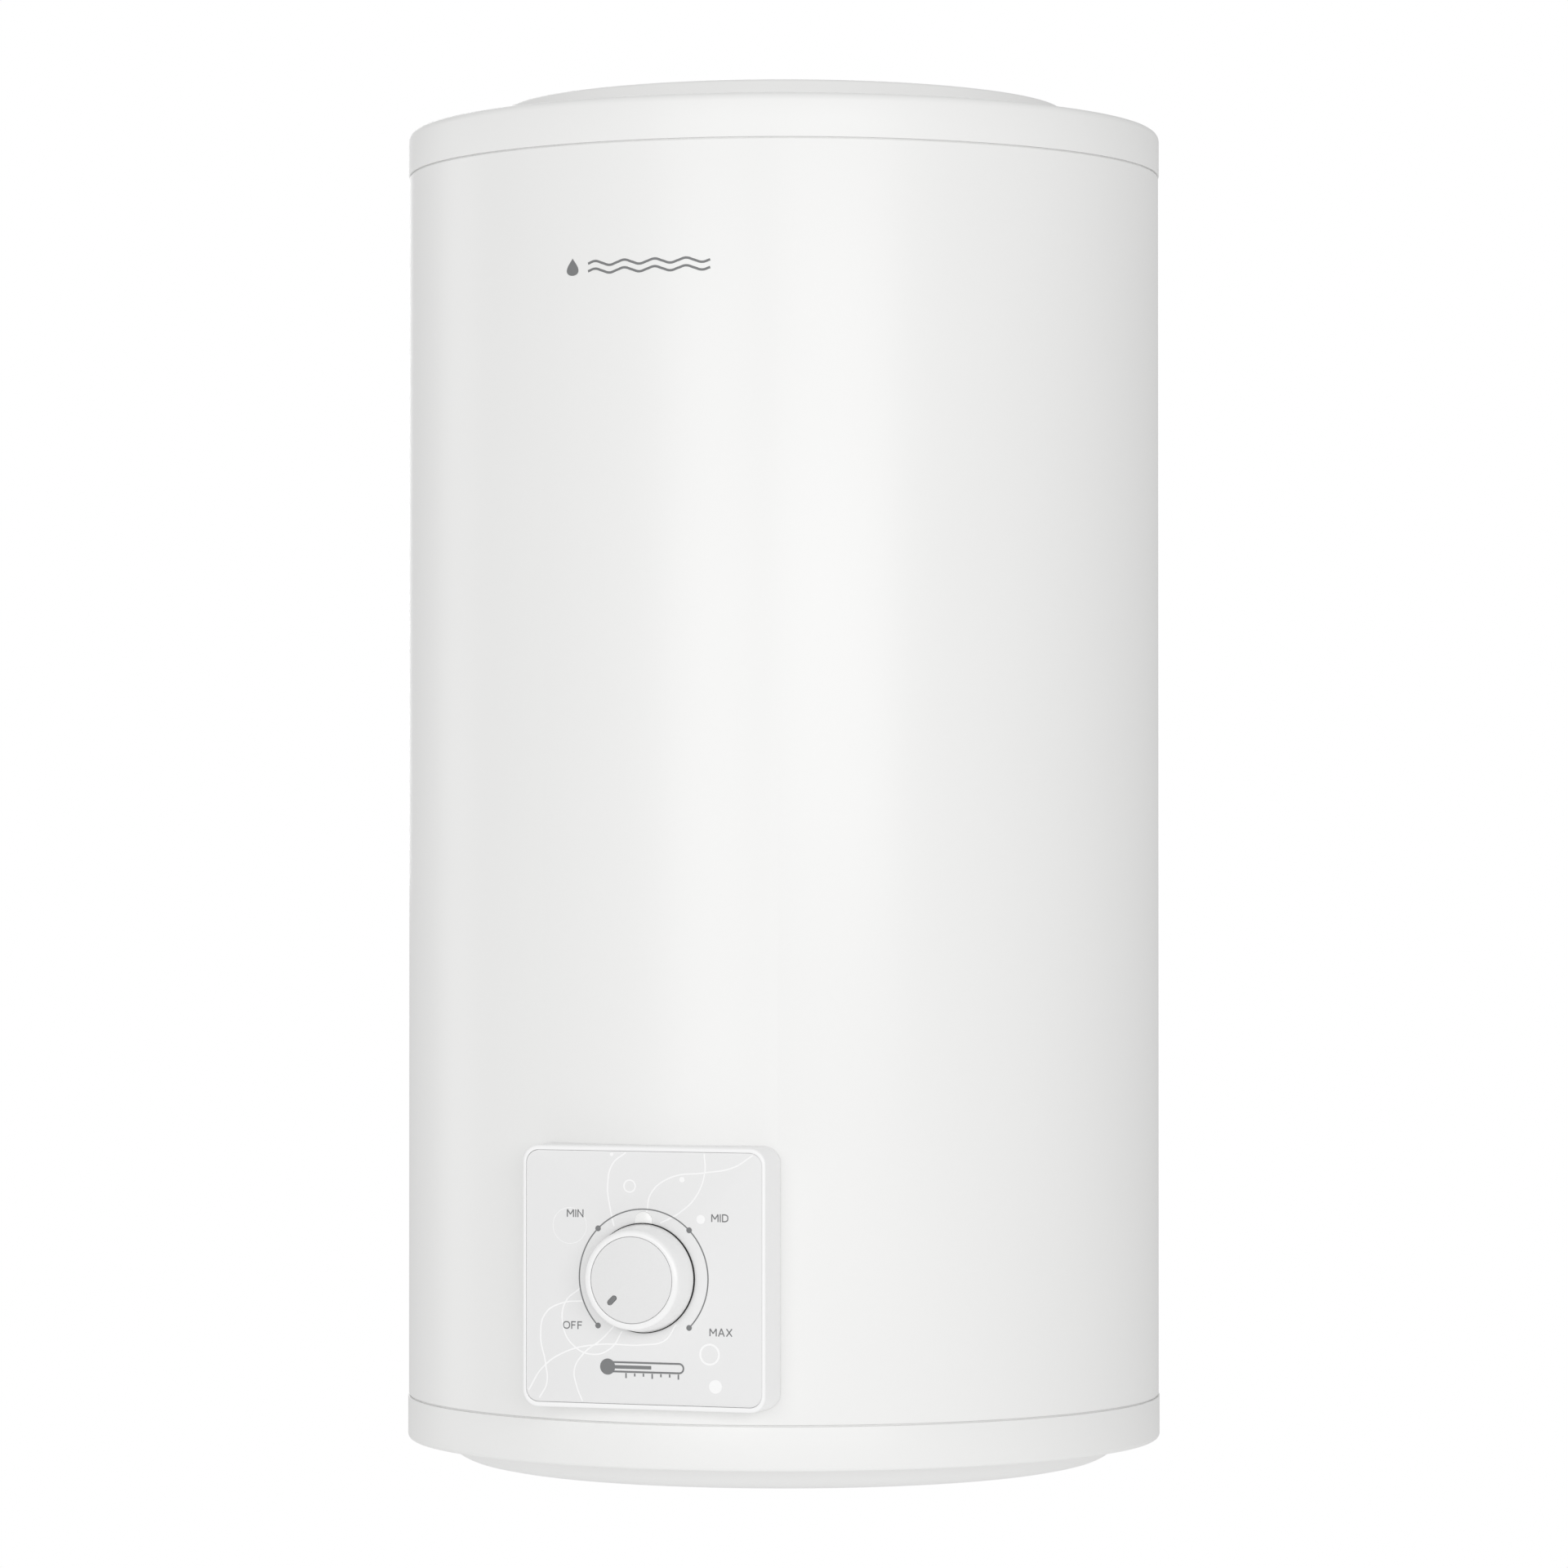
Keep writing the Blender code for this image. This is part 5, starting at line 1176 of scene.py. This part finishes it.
class HEATER_OT_inner_pieces(PieceOperator):
    """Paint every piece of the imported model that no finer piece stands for"""
    bl_idname = "heater.inner_pieces"
    bl_label = "Inner pieces"

    def execute(self, context):
        by_slot = plain_finishes()
        kinds = {
            "foam": ("insulation",),
            "enamelled_steel": ("tank_", "flange_collar"),
            "rubber": ("flange_gasket",),
            "copper": ("heating_element", "thermometer_pocket", "thermostat_bulb",
                       "capillary_tube"),
            "brass": ("element_terminal", "thermostat_spindle"),
            "magnesium": ("anode_rod",),
            "lamp_glass": ("indicator_lamp",),
            "white_plastic": ("hot_dip_tube", "inlet_diffuser", "terminal_block"),
            "black_plastic": ("thermostat_body", "safety_cutout", "wire_supply"),
            "red_plastic": ("reset_button", "wire_element_1"),
            "blue_plastic": ("wire_element_2",),
            "zinc_steel": ("flange_plate", "flange_nut", "thermostat_bracket",
                           "thermostat_screw", "bracket_screw"),
        }
        for name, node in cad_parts.items():
            if node.hide_render:
                continue
            slots = [slot for slot, starts in kinds.items() if name.startswith(starts)]
            if len(slots) != 1:
                raise RuntimeError(f"no finish is given for {name}")
            node.data.materials.clear()
            node.data.materials.append(by_slot[slots[0]])
        return {"FINISHED"}


class HEATER_OT_stage(PieceOperator):
    """Set the pale floor, the soft light and the camera"""
    bl_idname = "heater.stage"
    bl_label = "Stage"

    def execute(self, context):
        scene = context.scene
        deselect()
        # The heater hangs, so the floor is far enough below for views from underneath
        bpy.ops.mesh.primitive_circle_add(vertices=96, radius=24, fill_type="NGON")
        floor = put(named("studio_floor"), (0, 0, -4.2))
        floor.data.materials.append(finish(
            "matt_studio_floor", srgb("#F3F3F3"), 3.0, 0.99, 0.05, 0.0001, (0.85, 0.95),
            Emission_Color=(1, 1, 1, 1), Emission_Strength=0.16))

        world = bpy.data.worlds.new("studio")
        scene.world = world
        world.use_nodes = True
        tree = world.node_tree
        tree.nodes.clear()
        # The room lights the heater softly, and is seen as plain white behind it
        light, seen = [add_node(tree, "ShaderNodeBackground",
                                {"Color": (1, 1, 1, 1), "Strength": strength})
                       for strength in (0.59, 1.0)]
        path = add_node(tree, "ShaderNodeLightPath")
        mixed = add_node(tree, "ShaderNodeMixShader", {0: path.outputs["Is Camera Ray"],
                                                       1: light.outputs[0],
                                                       2: seen.outputs[0]})
        add_node(tree, "ShaderNodeOutputWorld", {"Surface": mixed.outputs[0]})

        # Each lamp's turn and rise in degrees, width and height in metres, and watts
        for name, *lamp in (("key", 35, 8, 3.8, 2.6, 78), ("fill", -3, 8, 2.6, 2.6, 48),
                            ("left_edge", -98, 4, 2.0, 4.2, 26),
                            ("rear", 205, 15, 2.2, 3.4, 52)):
            self.lamp(name, *lamp)
        scene.view_settings.view_transform = "Standard"

        deselect()
        bpy.ops.object.camera_add(location=(1.0602, -3.2098, -0.242),
                                  rotation=(math.radians(90.633), 0, math.radians(19.5)))
        camera = named("camera")
        camera.data.lens = 141.9
        camera.data.sensor_width = 36
        scene.camera = camera
        return {"FINISHED"}

    @staticmethod
    def lamp(name, turn, rise, width, tall, power):
        """A wide soft light, aimed at the heater from a turn and a rise in degrees."""
        distance = 6.0
        turn, rise = math.radians(turn), math.radians(rise)
        middle = Vector((0, AXIS_Y, (TOP + BOTTOM) / 2))
        away = Vector((math.sin(turn) * math.cos(rise), -math.cos(turn) * math.cos(rise),
                       math.sin(rise)))
        deselect()
        bpy.ops.object.light_add(type="AREA", location=middle + away * distance)
        light = named(name + "_light")
        light.rotation_euler = away.to_track_quat("Z", "Y").to_euler()
        light.data.shape = "RECTANGLE"
        light.data.size, light.data.size_y = width, tall
        light.data.energy = power
        light.visible_camera = False


class HEATER_PT_sidebar(bpy.types.Panel):
    """Sizes, colours and steps of the heater"""
    bl_idname = "HEATER_PT_sidebar"
    bl_label = "Tank Water Heater"
    bl_space_type = "VIEW_3D"
    bl_region_type = "UI"
    bl_category = "Heater"

    def draw(self, context):
        for group in (context.scene.heater_sizes, context.scene.heater_colours):
            box = self.layout.box()
            for name in group.__annotations__:
                box.prop(group, name)
        for step in STEPS:
            self.layout.operator(step.bl_idname)


STEPS = (HEATER_OT_jacket, HEATER_OT_caps, HEATER_OT_panel, HEATER_OT_panel_print,
         HEATER_OT_knob, HEATER_OT_front_mark, HEATER_OT_hanger, HEATER_OT_spacer,
         HEATER_OT_connections, HEATER_OT_inner_pieces, HEATER_OT_stage)


def register():
    for kind in (HeaterSizes, HeaterColours, *STEPS, HEATER_PT_sidebar):
        bpy.utils.register_class(kind)
    bpy.types.Scene.heater_sizes = PointerProperty(type=HeaterSizes)
    bpy.types.Scene.heater_colours = PointerProperty(type=HeaterColours)


def unregister():
    del bpy.types.Scene.heater_sizes
    del bpy.types.Scene.heater_colours
    for kind in reversed((HeaterSizes, HeaterColours, *STEPS, HEATER_PT_sidebar)):
        bpy.utils.unregister_class(kind)


def main():
    register()
    for step in STEPS:
        group, name = step.bl_idname.split(".")
        getattr(getattr(bpy.ops, group), name)()


if __name__ == "__main__":
    main()
